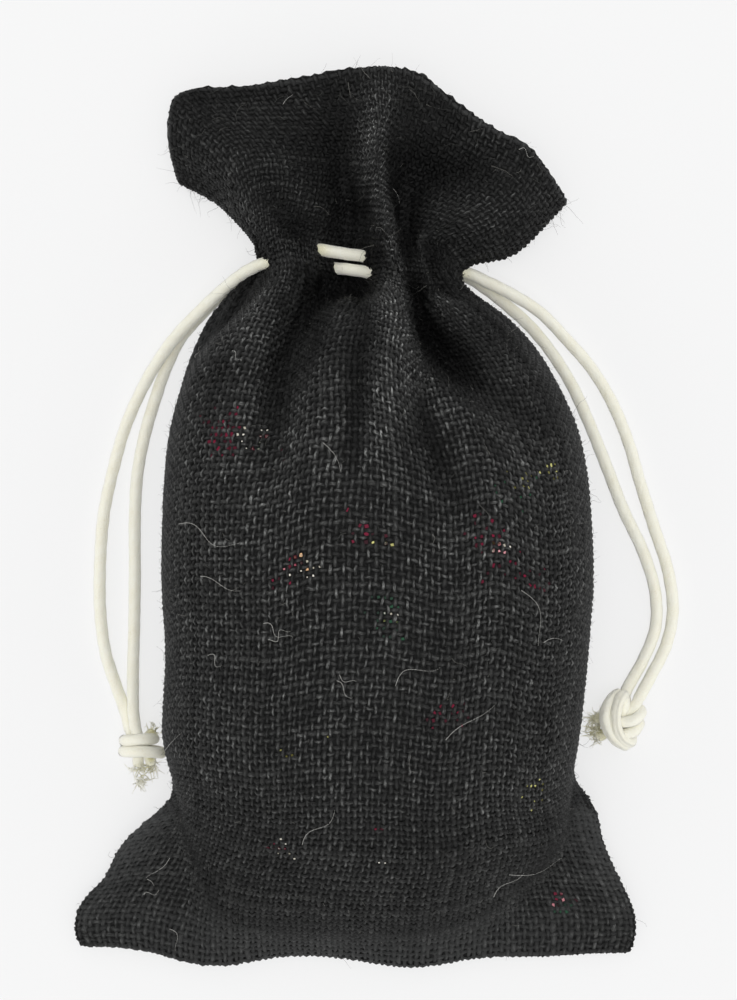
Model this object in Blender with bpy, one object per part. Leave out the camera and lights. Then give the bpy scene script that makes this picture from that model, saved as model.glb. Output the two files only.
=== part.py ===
"""Hessian drawstring sack: a small filled pouch of coarse cloth lying on its back, closed at
the neck by two cotton drawcords that leave it left and right and end in a knot each.

Tables are in millimetres and the scene is in metres. Every point is first placed in the
layout frame of the tables: +Y runs towards the mouth, +X to the right, and Z=0 is the
surface that the sack lies on. The whole is then shifted so that the origin is the middle
of the base of the sack's own box.

A place on the cloth has two cloth coordinates. Around runs 0 to 1 over the front, from the
left side seam to the right one, and 1 to 2 back under the sack. Along runs 0 to 1 from the
bottom seam to the hem of the mouth.
"""

import math

import bmesh
import bpy
import numpy as np
from mathutils import Vector

MM = 0.001

# --- the sack ---------------------------------------------------------------------------

# Cross sections of the filled body, from the bottom seam to the shoulder. left and right
# are the side seams' places, side the height they lie at and crown the height of the
# middle. Between dome_left and dome_right the filling lifts the cloth; outside them lie the
# flat ears. blunt and steep shape the dome, and puff is the ears' half thickness.
BODY_COLUMNS = "y left right side crown dome_left dome_right blunt steep puff".split()
BODY_SECTIONS = (
    (-119.5, -81.3, 74.0, 4.0, 11.0, -54.0, 40.0, 2.0, 0.80, 1.6),
    (-114.5, -81.2, 74.1, 4.2, 19.5, -49.0, 39.0, 2.2, 0.75, 2.4),
    (-107.0, -77.9, 71.4, 4.8, 29.0, -47.5, 43.0, 2.4, 0.68, 3.0),
    (-99.0, -71.9, 67.5, 5.8, 36.5, -48.5, 49.0, 2.5, 0.60, 3.4),
    (-91.5, -66.4, 64.3, 7.5, 42.5, -50.3, 53.4, 2.5, 0.55, 3.4),
    (-85.0, -59.2, 63.1, 10.0, 47.0, -51.2, 54.4, 2.5, 0.52, 2.6),
    (-79.0, -53.6, 59.6, 14.0, 51.5, -51.2, 54.4, 2.5, 0.50, 1.2),
    (-72.0, -52.8, 54.6, 19.0, 55.0, -52.8, 54.6, 2.5, 0.50, 0.0),
    (-62.0, -54.7, 55.9, 22.5, 58.0, -54.7, 55.9, 2.4, 0.50, 0.0),
    (-40.0, -53.6, 58.0, 25.0, 61.5, -53.6, 58.0, 2.3, 0.50, 0.0),
    (-20.0, -54.6, 59.3, 25.5, 62.5, -54.6, 59.3, 2.3, 0.50, 0.0),
    (0.0, -54.2, 58.5, 25.0, 61.5, -54.2, 58.5, 2.3, 0.50, 0.0),
    (16.0, -53.0, 56.2, 23.5, 58.5, -53.0, 56.2, 2.2, 0.50, 0.0),
    (30.0, -50.1, 50.7, 21.0, 53.5, -50.1, 50.7, 2.2, 0.50, 0.0),
    (42.0, -46.0, 43.4, 18.5, 46.5, -46.0, 43.4, 2.1, 0.50, 0.0),
    (51.0, -41.0, 34.0, 16.0, 38.5, -41.0, 34.0, 2.1, 0.50, 0.0),
)

# The bottom seam joins the two layers: its line in plan, and the waves it lies in.
SEAM_LEFT = (-79.4, -120.8)
SEAM_RIGHT = (72.3, -122.5)
SEAM_HEIGHT = 4.2
SEAM_HALF_THICKNESS = 1.3
SEAM_WAVES = (  # x of the middle, half width, reach towards -Y, rise
    (-43.0, 15.0, 4.2, 1.4),
    (-22.0, 24.0, 1.9, 0.0),
    (12.0, 19.0, 4.6, 2.0),
    (46.0, 15.0, 1.4, -0.4),
)

# Pleats at the neck, each a line that runs up the cloth from the shoulder to the hem: where
# it passes the gathered neck, the middle of the ruffle and the hem. fade is how far below
# the neck its pleat dies out into the shoulder.
PLEAT_COLUMNS = "around fade neck_x neck_z mid_x mid_y mid_z hem_x hem_y hem_z".split()
PLEATS = {
    "left_seam": (0.000, 14, -27.4, 11.0, -42.4, 80.2, 7.5, -51.0, 84.1, 6.0),
    "left_flap_edge": (0.090, 14, -26.0, 19.0, -41.5, 84.6, 15.5, -54.5, 99.2, 11.5),
    "left_flap_corner": (0.145, 17, -24.2, 24.2, -37.2, 87.4, 21.5, -52.8, 108.0, 14.5),
    "left_flap": (0.210, 20, -20.6, 27.4, -30.5, 89.2, 25.5, -43.0, 109.2, 17.0),
    "left_valley": (0.365, 17, -7.2, 14.2, -8.2, 87.3, 18.0, -14.4, 112.6, 21.0),
    "ridge_foot": (0.450, 17, -3.0, 14.8, -3.4, 87.8, 20.5, -5.4, 114.0, 23.0),
    "centre_ridge": (0.535, 62, 5.4, 31.5, 2.4, 88.0, 34.0, 3.8, 114.2, 28.0),
    "ridge_flank": (0.620, 46, 9.2, 21.5, 8.2, 86.6, 17.0, 14.8, 112.2, 22.0),
    "lobe_root": (0.700, 34, 12.0, 24.5, 13.4, 84.2, 14.0, 22.0, 107.0, 17.5),
    "right_panel": (0.790, 28, 15.4, 20.5, 22.6, 83.4, 18.4, 33.0, 98.8, 19.8),
    "right_panel_edge": (0.850, 26, 17.0, 19.5, 27.0, 79.2, 21.6, 42.4, 94.4, 19.2),
    "right_ridge": (0.905, 24, 18.2, 19.5, 29.8, 74.2, 24.0, 50.2, 85.2, 15.5),
    "right_seam": (1.000, 14, 21.4, 12.0, 37.6, 64.6, 11.0, 54.6, 79.6, 7.0),
    "under_right": (1.150, 14, 17.0, 2.2, 30.0, 74.0, 2.6, 44.0, 86.5, 1.2),
    "under_right_tuck": (1.300, 14, 11.5, 5.6, 20.5, 80.0, 6.0, 30.5, 99.0, 5.5),
    "under_middle_right": (1.420, 14, 5.5, 1.0, 9.5, 84.5, 1.0, 15.0, 106.5, 0.8),
    "under_middle_tuck": (1.520, 14, -0.5, 5.4, -1.0, 86.5, 6.0, -0.5, 109.0, 6.5),
    "under_middle_left": (1.630, 14, -7.5, 1.0, -10.5, 87.0, 1.0, -16.0, 109.0, 0.8),
    "under_left_tuck": (1.750, 14, -14.0, 5.6, -20.0, 86.0, 5.6, -30.5, 106.0, 5.5),
    "under_left": (1.880, 14, -21.5, 2.2, -32.5, 82.5, 2.2, -45.5, 99.0, 1.2),
}
# The drawcords gather the cloth between two lines across it: y at x=0, its slope along x,
# and how much wider than the pleats' table the gathers are, left and right.
NECK_LINES = (
    (59.8, -0.13, 1.01, 1.16),
    (64.4, -0.10, 1.09, 1.10),
)
NECK_Y = NECK_LINES[0][0]
NECK_CROWN = 29.0

# Folds of the front, each a line in plan that presses the cloth down by its depth (below 0
# it lifts a ridge). left and right are its widths to either side, seen along the line.
FOLD_COLUMNS = "x y depth left right".split()
FOLDS = {
    "right_pocket": (
        (12.2, 57.5, 6.0, 2.4, 1.6),
        (14.4, 48.0, 13.0, 4.4, 2.4),
        (17.8, 41.0, 16.0, 6.2, 3.8),
        (23.4, 33.6, 14.0, 5.6, 4.6),
        (30.0, 27.2, 6.0, 4.6, 4.0),
        (36.0, 22.0, 1.5, 5.0, 4.0),
    ),
    "right_pocket_side": (
        (11.8, 54.0, 4.0, 2.4, 1.4),
        (12.8, 44.0, 9.0, 4.0, 1.6),
        (14.4, 36.0, 5.0, 5.0, 2.0),
    ),
    "centre_ridge": (
        (7.4, 56.0, -1.0, 3.0, 2.6),
        (7.0, 45.0, -4.0, 3.8, 3.0),
        (5.2, 35.5, -5.0, 4.2, 3.4),
        (4.4, 20.5, -3.6, 4.4, 4.0),
        (3.4, 4.0, -0.5, 5.0, 5.0),
    ),
    "right_of_centre_ridge": (
        (12.0, 33.5, 3.0, 4.5, 1.8),
        (14.2, 20.5, 4.6, 4.8, 1.8),
        (19.2, 5.5, 3.2, 4.8, 2.2),
        (24.0, -3.0, 0.6, 5.0, 3.0),
    ),
    "left_of_centre_ridge": (
        (-1.4, 50.0, 3.4, 2.2, 3.0),
        (-2.4, 38.0, 3.8, 2.0, 3.0),
        (-3.0, 26.0, 3.8, 2.0, 3.0),
        (-3.6, 13.0, 2.4, 2.2, 3.2),
        (-3.8, 2.0, 0.4, 3.0, 3.0),
    ),
    "under_the_cords": (
        (-10.2, 56.4, 9.0, 2.4, 3.6),
        (-1.4, 55.4, 10.0, 2.4, 3.6),
    ),
    "left_shoulder_valley": (
        (-12.6, 56.4, 6.0, 3.8, 3.2),
        (-17.6, 46.6, 15.0, 6.0, 4.4),
        (-21.6, 36.5, 15.0, 6.6, 4.8),
        (-24.0, 21.0, 10.0, 6.0, 4.6),
        (-25.4, 8.5, 4.0, 5.5, 5.0),
    ),
    "left_shoulder_ridge": (
        (-27.0, 54.0, -1.0, 4.0, 1.6),
        (-33.5, 46.6, -2.4, 4.5, 1.6),
        (-40.0, 42.4, -2.4, 4.5, 1.6),
        (-44.6, 36.6, -1.8, 4.5, 1.6),
        (-47.4, 26.0, -1.0, 4.5, 1.8),
        (-49.2, 13.0, -0.3, 4.5, 2.0),
    ),
    "left_shoulder_tuck": (
        (-28.0, 58.0, 8.0, 2.4, 4.0),
        (-34.0, 52.6, 18.0, 3.4, 4.6),
        (-39.8, 47.4, 20.0, 3.2, 4.6),
        (-45.2, 41.4, 16.0, 2.6, 4.0),
        (-49.2, 33.0, 8.0, 2.0, 3.4),
        (-50.8, 22.0, 2.0, 1.8, 3.0),
    ),
    "right_shoulder_swell": (
        (24.0, 54.0, -1.0, 4.0, 4.0),
        (40.0, 30.0, -1.6, 8.0, 6.0),
    ),
    "ruffle_left_valley": (
        (-7.4, 102.0, 1.6, 3.6, 4.0),
        (-7.2, 90.0, 4.4, 2.2, 3.0),
        (-6.0, 78.0, 6.0, 1.8, 2.4),
        (-6.0, 70.0, 4.0, 1.8, 2.4),
    ),
    "ruffle_ridge": (
        (4.0, 111.0, -1.6, 5.0, 5.0),
        (2.2, 98.0, -2.8, 4.4, 4.4),
        (1.8, 88.0, -3.0, 4.0, 4.0),
        (3.4, 78.0, -2.4, 3.6, 3.6),
        (4.2, 66.4, -3.0, 2.8, 2.8),
    ),
    "ruffle_right_valley": (
        (10.2, 65.5, 5.0, 2.0, 2.0),
        (9.0, 76.0, 7.0, 2.0, 2.6),
        (9.8, 84.0, 7.5, 2.6, 3.0),
        (14.4, 88.8, 5.5, 4.4, 3.2),
        (23.0, 88.4, 4.0, 4.4, 3.4),
        (33.5, 84.6, 2.0, 5.0, 4.0),
    ),
    "lobe_swell": (
        (18.0, 75.0, -4.0, 5.5, 6.0),
        (29.0, 75.4, -4.0, 6.5, 7.0),
        (38.0, 77.4, -2.0, 7.0, 7.0),
    ),
    "lobe_pocket": (
        (16.4, 66.0, 6.0, 2.0, 2.0),
        (21.0, 67.0, 3.4, 2.4, 2.2),
    ),
    "flap_crease": (
        (-32.0, 88.0, 1.0, 3.0, 2.4),
        (-25.6, 79.4, 6.0, 3.4, 2.2),
        (-19.4, 72.0, 8.0, 3.2, 2.2),
        (-17.0, 66.6, 2.0, 2.4, 2.0),
    ),
    "flap_rim": (
        (-41.0, 87.0, -1.2, 3.0, 3.0),
        (-33.0, 76.0, -2.4, 3.0, 2.6),
        (-26.5, 68.0, -1.6, 2.6, 2.4),
    ),
    "flap_swell": (
        (-24.0, 89.0, -1.2, 5.0, 5.0),
        (-17.4, 77.0, -2.2, 3.6, 3.6),
    ),
    "flap_drag": (
        (-40.0, 97.6, 0.7, 3.5, 3.0),
        (-10.0, 97.0, 1.2, 3.5, 3.0),
    ),
    "left_ear_crease": (
        (-52.5, -74.0, 1.0, 2.0, 3.4),
        (-51.4, -86.0, 3.2, 2.0, 4.6),
        (-49.4, -98.0, 2.6, 2.4, 4.6),
        (-46.0, -112.0, 0.8, 3.0, 5.0),
    ),
    "right_ear_crease": (
        (54.8, -74.0, 1.0, 4.0, 2.0),
        (54.6, -90.0, 3.0, 4.4, 2.0),
        (48.0, -101.0, 3.4, 4.6, 2.2),
        (38.0, -110.0, 2.6, 4.6, 2.6),
        (28.0, -116.5, 1.2, 4.6, 3.0),
    ),
    "bottom_drag": (
        (-22.0, -121.0, 1.2, 5.0, 5.0),
        (-18.0, -96.0, 0.8, 8.0, 8.0),
    ),
    "bottom_drag_right": (
        (36.0, -121.0, 0.9, 5.0, 5.0),
        (30.0, -98.0, 0.6, 7.0, 7.0),
    ),
}
FOLD_CLEARANCE = 1.0  # no fold goes deeper than this above the line from seam to seam
LUMPS = (  # the filling pushes out here: x, y, radius, height
    (-30.0, -12.0, 17.0, 1.3),
    (22.0, -20.0, 18.0, 1.2),
    (-8.0, -48.0, 18.0, 1.1),
    (33.0, 4.0, 14.0, 0.9),
    (-38.0, -58.0, 15.0, 1.0),
    (30.0, -66.0, 16.0, 1.1),
    (-14.0, 14.0, 13.0, 0.8),
    (2.0, -88.0, 15.0, 0.9),
)

WALL = 1.7  # the cloth of the ruffle, with its own fuzz
HEM_WALL = 2.2  # the turned hem
MOUTH_ROWS = 6  # rows of the cloth that the open mouth reaches down

ROWS_FINE = 150  # the surface is worked out this finely, then spaced evenly
AROUND_FINE = 240
SOFTEN_TIMES = 3
FLAT_PRESS = 0.25  # what the underside gives way where it lies flat
ROWS = 44
AROUND = 92

# --- the drawcords ----------------------------------------------------------------------

CORD_D = 3.3
CORD_GAP = 0.3
CORD_STEP = 2.4 * CORD_D  # spacing of the points along a drawn tube
HELD_STEP = 0.8 * CORD_D  # the same where it bends through the gathers
CHANNEL_PAST = 1.8  # steps that a channel runs on past the held stretch

# Where each held stretch passes through the gathers, from its own knot's side round and back.
LEFT_HELD = (
    (-29.2, 62.8, 16.0),
    (-25.8, 63.6, 17.4),
    (-20.6, 63.8, 15.8),
    (-13.6, 62.9, 13.0),
    (-9.2, 62.1, 14.4),
    (-5.4, 61.5, 17.2),
    (-1.6, 60.9, 17.7),
    (2.2, 60.2, 16.6),
    (7.6, 59.4, 11.8),
    (13.5, 58.6, 9.4),
    (17.4, 58.1, 8.3),
    (18.0, 58.0, 6.4),
    (15.0, 58.4, 4.7),
    (7.0, 59.4, 4.2),
    (-2.0, 60.6, 4.0),
    (-12.0, 62.0, 4.2),
    (-20.4, 63.4, 6.0),
    (-25.6, 63.8, 9.2),
    (-29.3, 63.0, 9.7),
)
RIGHT_HELD = (
    (22.9, 61.9, 9.9),
    (18.0, 62.8, 9.6),
    (13.5, 63.2, 9.4),
    (7.5, 63.8, 11.8),
    (2.2, 64.6, 15.2),
    (-2.0, 65.1, 17.4),
    (-7.4, 65.8, 17.7),
    (-12.6, 66.7, 17.0),
    (-18.0, 67.4, 12.6),
    (-22.4, 67.8, 9.4),
    (-22.7, 67.8, 7.2),
    (-19.0, 67.4, 4.8),
    (-11.0, 66.4, 4.1),
    (-2.0, 65.2, 4.0),
    (7.0, 64.0, 4.1),
    (15.0, 62.9, 4.8),
    (22.8, 61.9, 5.8),
)

FLOOR_Z = CORD_D / 2 + 0.15
FREE_STRANDS = {
    "drawcord_left_outer": (
        (-30.1, 62.5, 15.5),
        (-33.6, 60.8, 13.3),
        (-38.9, 57.0, 10.2),
        (-45.9, 50.8, 7.4),
        (-52.2, 44.4, 5.6),
        (-57.5, 37.2, 4.7),
        (-62.0, 29.4, 3.4),
        (-66.4, 19.6, FLOOR_Z),
        (-69.9, 7.1, FLOOR_Z),
        (-72.2, -4.1, FLOOR_Z),
        (-73.2, -18.0, FLOOR_Z),
        (-73.1, -31.0, FLOOR_Z),
        (-71.6, -42.0, FLOOR_Z),
        (-68.9, -50.4, FLOOR_Z),
        (-66.4, -57.4, 1.9),
        (-65.0, -62.4, 2.6),
    ),
    "drawcord_left_inner": (
        (-30.5, 62.5, 9.5),
        (-34.0, 60.6, 8.2),
        (-39.0, 56.6, 5.0),
        (-45.6, 50.4, 2.8),
        (-51.4, 43.8, FLOOR_Z),
        (-55.1, 36.2, FLOOR_Z),
        (-58.2, 27.3, FLOOR_Z),
        (-61.0, 17.7, FLOOR_Z),
        (-63.0, 7.0, FLOOR_Z),
        (-63.7, -5.0, FLOOR_Z),
        (-63.7, -20.0, FLOOR_Z),
        (-63.9, -35.0, FLOOR_Z),
        (-64.2, -46.0, 1.8),
        (-64.1, -52.6, 3.1),
        (-63.8, -57.6, 5.0),
        (-63.2, -61.7, 6.2),
    ),
    "drawcord_right_outer": (
        (23.8, 61.7, 9.9),
        (26.8, 61.2, 9.6),
        (31.4, 59.2, 8.6),
        (38.6, 55.8, 6.8),
        (46.6, 50.9, 5.0),
        (54.0, 43.6, 3.0),
        (60.8, 35.9, FLOOR_Z),
        (66.3, 26.8, FLOOR_Z),
        (70.8, 16.0, FLOOR_Z),
        (74.0, 5.0, FLOOR_Z),
        (77.9, -7.5, FLOOR_Z),
        (81.6, -19.0, FLOOR_Z),
        (83.0, -30.0, FLOOR_Z),
        (81.2, -39.5, FLOOR_Z),
        (76.8, -48.2, 2.6),
        (73.6, -53.6, 4.4),
    ),
    "drawcord_right_inner": (
        (23.7, 61.7, 5.8),
        (26.6, 60.6, 5.4),
        (31.0, 58.0, 4.4),
        (37.4, 53.2, 2.8),
        (43.8, 47.6, FLOOR_Z),
        (49.4, 40.9, FLOOR_Z),
        (55.3, 31.6, FLOOR_Z),
        (60.0, 21.4, FLOOR_Z),
        (64.6, 10.0, FLOOR_Z),
        (69.4, -2.4, FLOOR_Z),
        (75.0, -14.4, FLOOR_Z),
        (78.2, -25.2, FLOOR_Z),
        (78.2, -35.0, FLOOR_Z),
        (74.8, -43.8, FLOOR_Z),
        (71.2, -50.0, 2.6),
        (69.2, -53.6, 4.4),
    ),
}

# Each knot is the lump of its wraps, with its frayed ends. ends: start, finish, start and
# finish radius.
KNOTS = {
    "knot_left": {
        "centre": (-61.8, -67.4, 5.0),
        "half": (6.0, 5.3, 4.7),
        "turn": 8.0,
        "ends": (
            ((-62.0, -70.5, 4.4), (-63.0, -77.4, 2.6), 2.4, 2.4),
            ((-60.4, -70.5, 4.0), (-59.2, -77.0, 2.3), 2.2, 2.1),
        ),
    },
    "knot_right": {
        "centre": (68.9, -60.9, 5.6),
        "half": (6.0, 6.9, 5.3),
        "turn": -20.0,
        "ends": (
            ((64.4, -61.5, 4.6), (58.9, -63.6, 3.0), 2.3, 2.5),
            ((64.6, -58.9, 4.2), (60.0, -59.6, 2.6), 2.1, 2.2),
        ),
    },
}
KNOT_WRAPS = 3
KNOT_GROOVE = 0.075
FLOOR_CLEAR = 0.05  # the knots just clear the surface

MATERIALS = {  # colour, roughness
    "hessian": ((0.018, 0.019, 0.019), 0.9),
    "cotton": ((0.78, 0.75, 0.66), 0.85),
}


# --- curves -----------------------------------------------------------------------------


def monotone(knots, values, at):
    """A smooth curve through values at knots that never overshoots them, read at `at`.
    The values may be vectors. This is the Fritsch-Carlson cubic."""
    knots = np.asarray(knots, float)
    values = np.asarray(values, float)
    if values.ndim == 1:
        return monotone(knots, values[:, None], at)[..., 0]
    step = np.diff(knots)
    step = step.reshape((-1,) + (1,) * (values.ndim - 1))
    slope = np.diff(values, axis=0) / step
    before, after = slope[:-1], slope[1:]
    short, long = step[:-1] + 2 * step[1:], 2 * step[:-1] + step[1:]
    with np.errstate(divide="ignore", invalid="ignore"):
        mean = (short + long) / (long / before + short / after)
    inner = np.where(before * after > 0, mean, 0.0)
    tangent = np.concatenate([slope[:1], inner, slope[-1:]])
    span = np.clip(np.searchsorted(knots, at, side="right") - 1, 0, len(knots) - 2)
    width = step[span]
    shape = np.shape(at) + (1,) * (values.ndim - 1)
    t = (np.asarray(at) - knots[span]).reshape(shape) / width
    return (
        values[span] * (1 + 2 * t) * (1 - t) ** 2
        + tangent[span] * width * t * (1 - t) ** 2
        + values[span + 1] * t * t * (3 - 2 * t)
        + tangent[span + 1] * width * t * t * (t - 1)
    )


def around_loop(knots, values, at):
    """monotone() on a closed loop whose `around` runs 0 to 2."""
    knots = np.asarray(knots, float)
    values = np.asarray(values, float)
    wide = np.concatenate([knots[-2:] - 2, knots, knots[:3] + 2])
    return monotone(wide, np.concatenate([values[-2:], values, values[:3]]), at)


def smooth_route(points, step):
    """Points `step` apart on a centripetal Catmull-Rom curve through the route's own points."""
    route = [Vector(p) for p in points]
    route = [2 * route[0] - route[1], *route, 2 * route[-1] - route[-2]]
    dense = []
    for a, b, c, d in zip(route, route[1:], route[2:], route[3:]):
        t1 = math.sqrt((b - a).length)
        t2 = t1 + math.sqrt((c - b).length)
        t3 = t2 + math.sqrt((d - c).length)
        for i in range(24):
            t = t1 + (t2 - t1) * i / 24
            ab = a.lerp(b, t / t1)
            bc = b.lerp(c, (t - t1) / (t2 - t1))
            cd = c.lerp(d, (t - t2) / (t3 - t2))
            dense.append(ab.lerp(bc, t / t2).lerp(bc.lerp(cd, (t - t1) / (t3 - t1)), (t - t1) / (t2 - t1)))
    dense = np.array([*map(tuple, dense), tuple(route[-2])])
    run = np.concatenate([[0], np.cumsum(np.linalg.norm(np.diff(dense, axis=0), axis=1))])
    at = np.linspace(0, run[-1], max(4, round(run[-1] / step)) + 1)
    return np.stack([np.interp(at, run, dense[:, k]) for k in range(3)], axis=1)


# --- the sack's surface -----------------------------------------------------------------


def side_by_side(count):
    """`around` of `count` columns, the same on the front as below it, a column on each seam."""
    return np.arange(count) * 2 / count


def evenly(points, count):
    """`count` points evenly spaced by length along an open line of points, ends kept."""
    run = np.concatenate([[0], np.cumsum(np.linalg.norm(np.diff(points, axis=0), axis=1))])
    at = np.linspace(0, run[-1], count)
    return np.stack([np.interp(at, run, points[:, k]) for k in range(3)], axis=1)


def body_loop(section, around):
    """One closed cross section of the filled body, evenly spaced over the front and below."""
    s = dict(zip(BODY_COLUMNS, section))
    dense = 160
    angle = np.linspace(0, math.pi, dense)
    across = -np.cos(angle)
    x = (s["left"] + s["right"]) / 2 + across * (s["right"] - s["left"]) / 2
    edge = np.sin(angle) ** 0.6
    middle = (s["dome_left"] + s["dome_right"]) / 2
    reach = (s["dome_right"] - s["dome_left"]) / 2
    share = np.clip(np.abs(x - middle) / reach, 0, 1)
    dome = (1 - share ** s["blunt"]) ** s["steep"]
    top = s["side"] + s["puff"] * edge + (s["crown"] - s["side"] - s["puff"]) * dome
    below = s["side"] - 0.6 * s["puff"] * edge - 1.22 * s["side"] * dome
    y = np.full(dense, s["y"])
    half = len(around) // 2
    front = evenly(np.stack([x, y, top], 1), half + 1)
    back = evenly(np.stack([x, y, np.maximum(below, 0)], 1)[::-1], half + 1)
    return np.concatenate([front[:-1], back[:-1]])


def seam_loop(around):
    """The bottom seam: the two layers lie flat together along a wavy line."""
    share = np.where(around <= 1, around, 2 - around)
    x = SEAM_LEFT[0] + share * (SEAM_RIGHT[0] - SEAM_LEFT[0])
    y = SEAM_LEFT[1] + share * (SEAM_RIGHT[1] - SEAM_LEFT[1])
    z = np.full(len(around), SEAM_HEIGHT)
    for middle, half_width, reach, rise in SEAM_WAVES:
        wave = np.exp(-(((x - middle) / half_width) ** 2))
        y -= reach * wave
        z += rise * wave
    z += np.where(around <= 1, SEAM_HALF_THICKNESS, -SEAM_HALF_THICKNESS)
    return np.stack([x, y, z], 1)


def pleat(name):
    """One column of the pleats' table, in the order of the lines around the cloth."""
    return np.array([row[PLEAT_COLUMNS.index(name)] for row in PLEATS.values()], float)


def neck_points(line):
    """Where the pleats' lines cross one edge of the gathered neck."""
    y, slope, wider_left, wider_right = line
    x = pleat("neck_x")
    x = x * np.where(x < 0, wider_left, wider_right)
    return np.stack([x, y + slope * x, pleat("neck_z")], 1)


def pleated_shoulder(section, around):
    """A body section near the neck, with each pleat's own share of its depth still in it."""
    loop = body_loop(section, around)
    s = dict(zip(BODY_COLUMNS, section))
    lines = pleat("around")
    gathered = neck_points(NECK_LINES[0])
    neck = dict(s, side=gathered[0, 2], crown=NECK_CROWN)
    neck["left"] = neck["dome_left"] = gathered[:, 0].min()
    neck["right"] = neck["dome_right"] = gathered[:, 0].max()
    plain = body_loop([neck[c] for c in BODY_COLUMNS], around)
    marks = np.round(lines * len(around) / 2).astype(int) % len(around)
    push = gathered - plain[marks]
    push[:, 1] = 0
    share = np.clip((NECK_Y - s["y"]) / pleat("fade"), 0, 1)
    push *= ((1 - share) ** 1.5)[:, None]
    loop = loop + around_loop(lines, push, around)
    loop[:, 2] = np.maximum(loop[:, 2], 0)
    return loop


def fold_push(x, y, rows):
    """How far a fold presses down the cloth that lies over x and y."""
    rows = np.array(rows)
    nearest = np.full(x.shape, np.inf)
    push = np.zeros(x.shape)
    for start, end in zip(rows, rows[1:]):
        way = end[:2] - start[:2]
        near = ((x - start[0]) * way[0] + (y - start[1]) * way[1]) / way.dot(way)
        near = np.clip(near, 0, 1)
        at = dict(zip(FOLD_COLUMNS, (a + near * (b - a) for a, b in zip(start, end))))
        off_x, off_y = x - at["x"], y - at["y"]
        width = np.where(way[0] * off_y > way[1] * off_x, at["left"], at["right"])
        apart = np.hypot(off_x, off_y)
        push = np.where(apart < nearest, at["depth"] * np.exp(-((apart / width) ** 2)), push)
        nearest = np.minimum(nearest, apart)
    return push


def add_folds(grid, front):
    """Presses the folds into the front of the grid, and the filling's lumps out of it."""
    x, y = grid[..., 0], grid[..., 1]
    push = np.zeros(x.shape)
    for rows in FOLDS.values():
        push -= fold_push(x, y, rows)
    for lump_x, lump_y, radius, height in LUMPS:
        push += height * np.exp(-((x - lump_x) ** 2 + (y - lump_y) ** 2) / radius**2)
    folded = grid.copy()
    left_seam, right_seam = (grid[:, i : i + 1, 2] for i in (0, grid.shape[1] // 2))
    across = np.linspace(0, 2, grid.shape[1])
    lowest = left_seam + across * (right_seam - left_seam) + FOLD_CLEARANCE
    lowest = np.minimum(grid[..., 2], lowest)
    folded[..., 2] = np.maximum(grid[..., 2] + push * front, lowest)
    return folded


def soften(grid, times):
    """Rounds the grid as the stiffness of cloth does. The bottom seam and the hem stay."""
    for _ in range(times):
        grid = (np.roll(grid, 1, 1) + 2 * grid + np.roll(grid, -1, 1)) / 4
        inside = (grid[:-2] + 2 * grid[1:-1] + grid[2:]) / 4
        grid = np.concatenate([grid[:1], inside, grid[-1:]])
    return grid


def even_grid(grid):
    """The same surface with its lines evenly spaced, as the yarns of the cloth are."""
    rows, columns = grid.shape[:2]
    half = columns // 2
    for _ in range(2):
        grid = np.stack([evenly(grid[:, i], rows) for i in range(columns)], axis=1)
        closed = np.concatenate([grid, grid[:, :1]], axis=1)
        grid = np.stack(
            [
                np.concatenate(
                    [evenly(row[: half + 1], half + 1)[:-1], evenly(row[half:], half + 1)[:-1]]
                )
                for row in closed
            ]
        )
    return grid


def sack_surface():
    """The outside of the cloth as a grid: row 0 is the bottom seam, the last row the hem."""
    around = side_by_side(AROUND_FINE)
    shoulder_y = NECK_Y - pleat("fade").max()
    loops = [seam_loop(around)]
    for section in BODY_SECTIONS:
        pleated = section[0] > shoulder_y
        loops.append((pleated_shoulder if pleated else body_loop)(section, around))
    loops += [around_loop(pleat("around"), neck_points(line), around) for line in NECK_LINES]
    for place in ("mid", "hem"):
        points = np.stack([pleat(f"{place}_{axis}") for axis in "xyz"], 1)
        loops.append(around_loop(pleat("around"), points, around))
    loops = np.stack(loops)
    gaps = np.linalg.norm(np.diff(loops, axis=0), axis=2).mean(axis=1)
    run = np.concatenate([[0], np.cumsum(gaps)])
    grid = monotone(run, loops, np.linspace(0, run[-1], ROWS_FINE))
    front = np.where(around <= 1, np.sin(np.pi * np.clip(around, 0, 1)) ** 0.3, 0.0)
    rows_y = grid[..., 1]
    above_seam = np.clip((rows_y + 122) / 6, 0, 1)
    grid = add_folds(grid, front[None, :] * above_seam)
    grid = soften(even_grid(grid), SOFTEN_TIMES)
    grid[..., 2] = np.maximum(grid[..., 2] - FLAT_PRESS, 0)
    return grid


def read_grid(grid, along, around):
    """Points of the grid at cloth coordinates: along 0 to 1, around 0 to 2."""
    rows, columns = grid.shape[:2]
    row = np.clip(np.asarray(along) * (rows - 1), 0, rows - 1)
    column = np.asarray(around) * columns / 2
    low = np.minimum(row.astype(int), rows - 2)
    left = np.floor(column).astype(int)
    up, over = (row - low)[..., None], (column - left)[..., None]
    right = (left + 1) % columns
    left = left % columns
    lower = grid[low, left] * (1 - over) + grid[low, right] * over
    upper = grid[low + 1, left] * (1 - over) + grid[low + 1, right] * over
    return lower * (1 - up) + upper * up


# --- making objects ---------------------------------------------------------------------


def clear_scene():
    for obj in list(bpy.data.objects):
        bpy.data.objects.remove(obj)


def new_collection(name):
    made = bpy.data.collections.new(name)
    bpy.context.scene.collection.children.link(made)
    return made


def new_material(name):
    colour, roughness = MATERIALS[name]
    made = bpy.data.materials.new(name)
    made.use_nodes = True
    shader = made.node_tree.nodes["Principled BSDF"]
    shader.inputs["Base Color"].default_value = (*colour, 1)
    shader.inputs["Roughness"].default_value = roughness
    shader.inputs["Metallic"].default_value = 0
    return made


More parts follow.
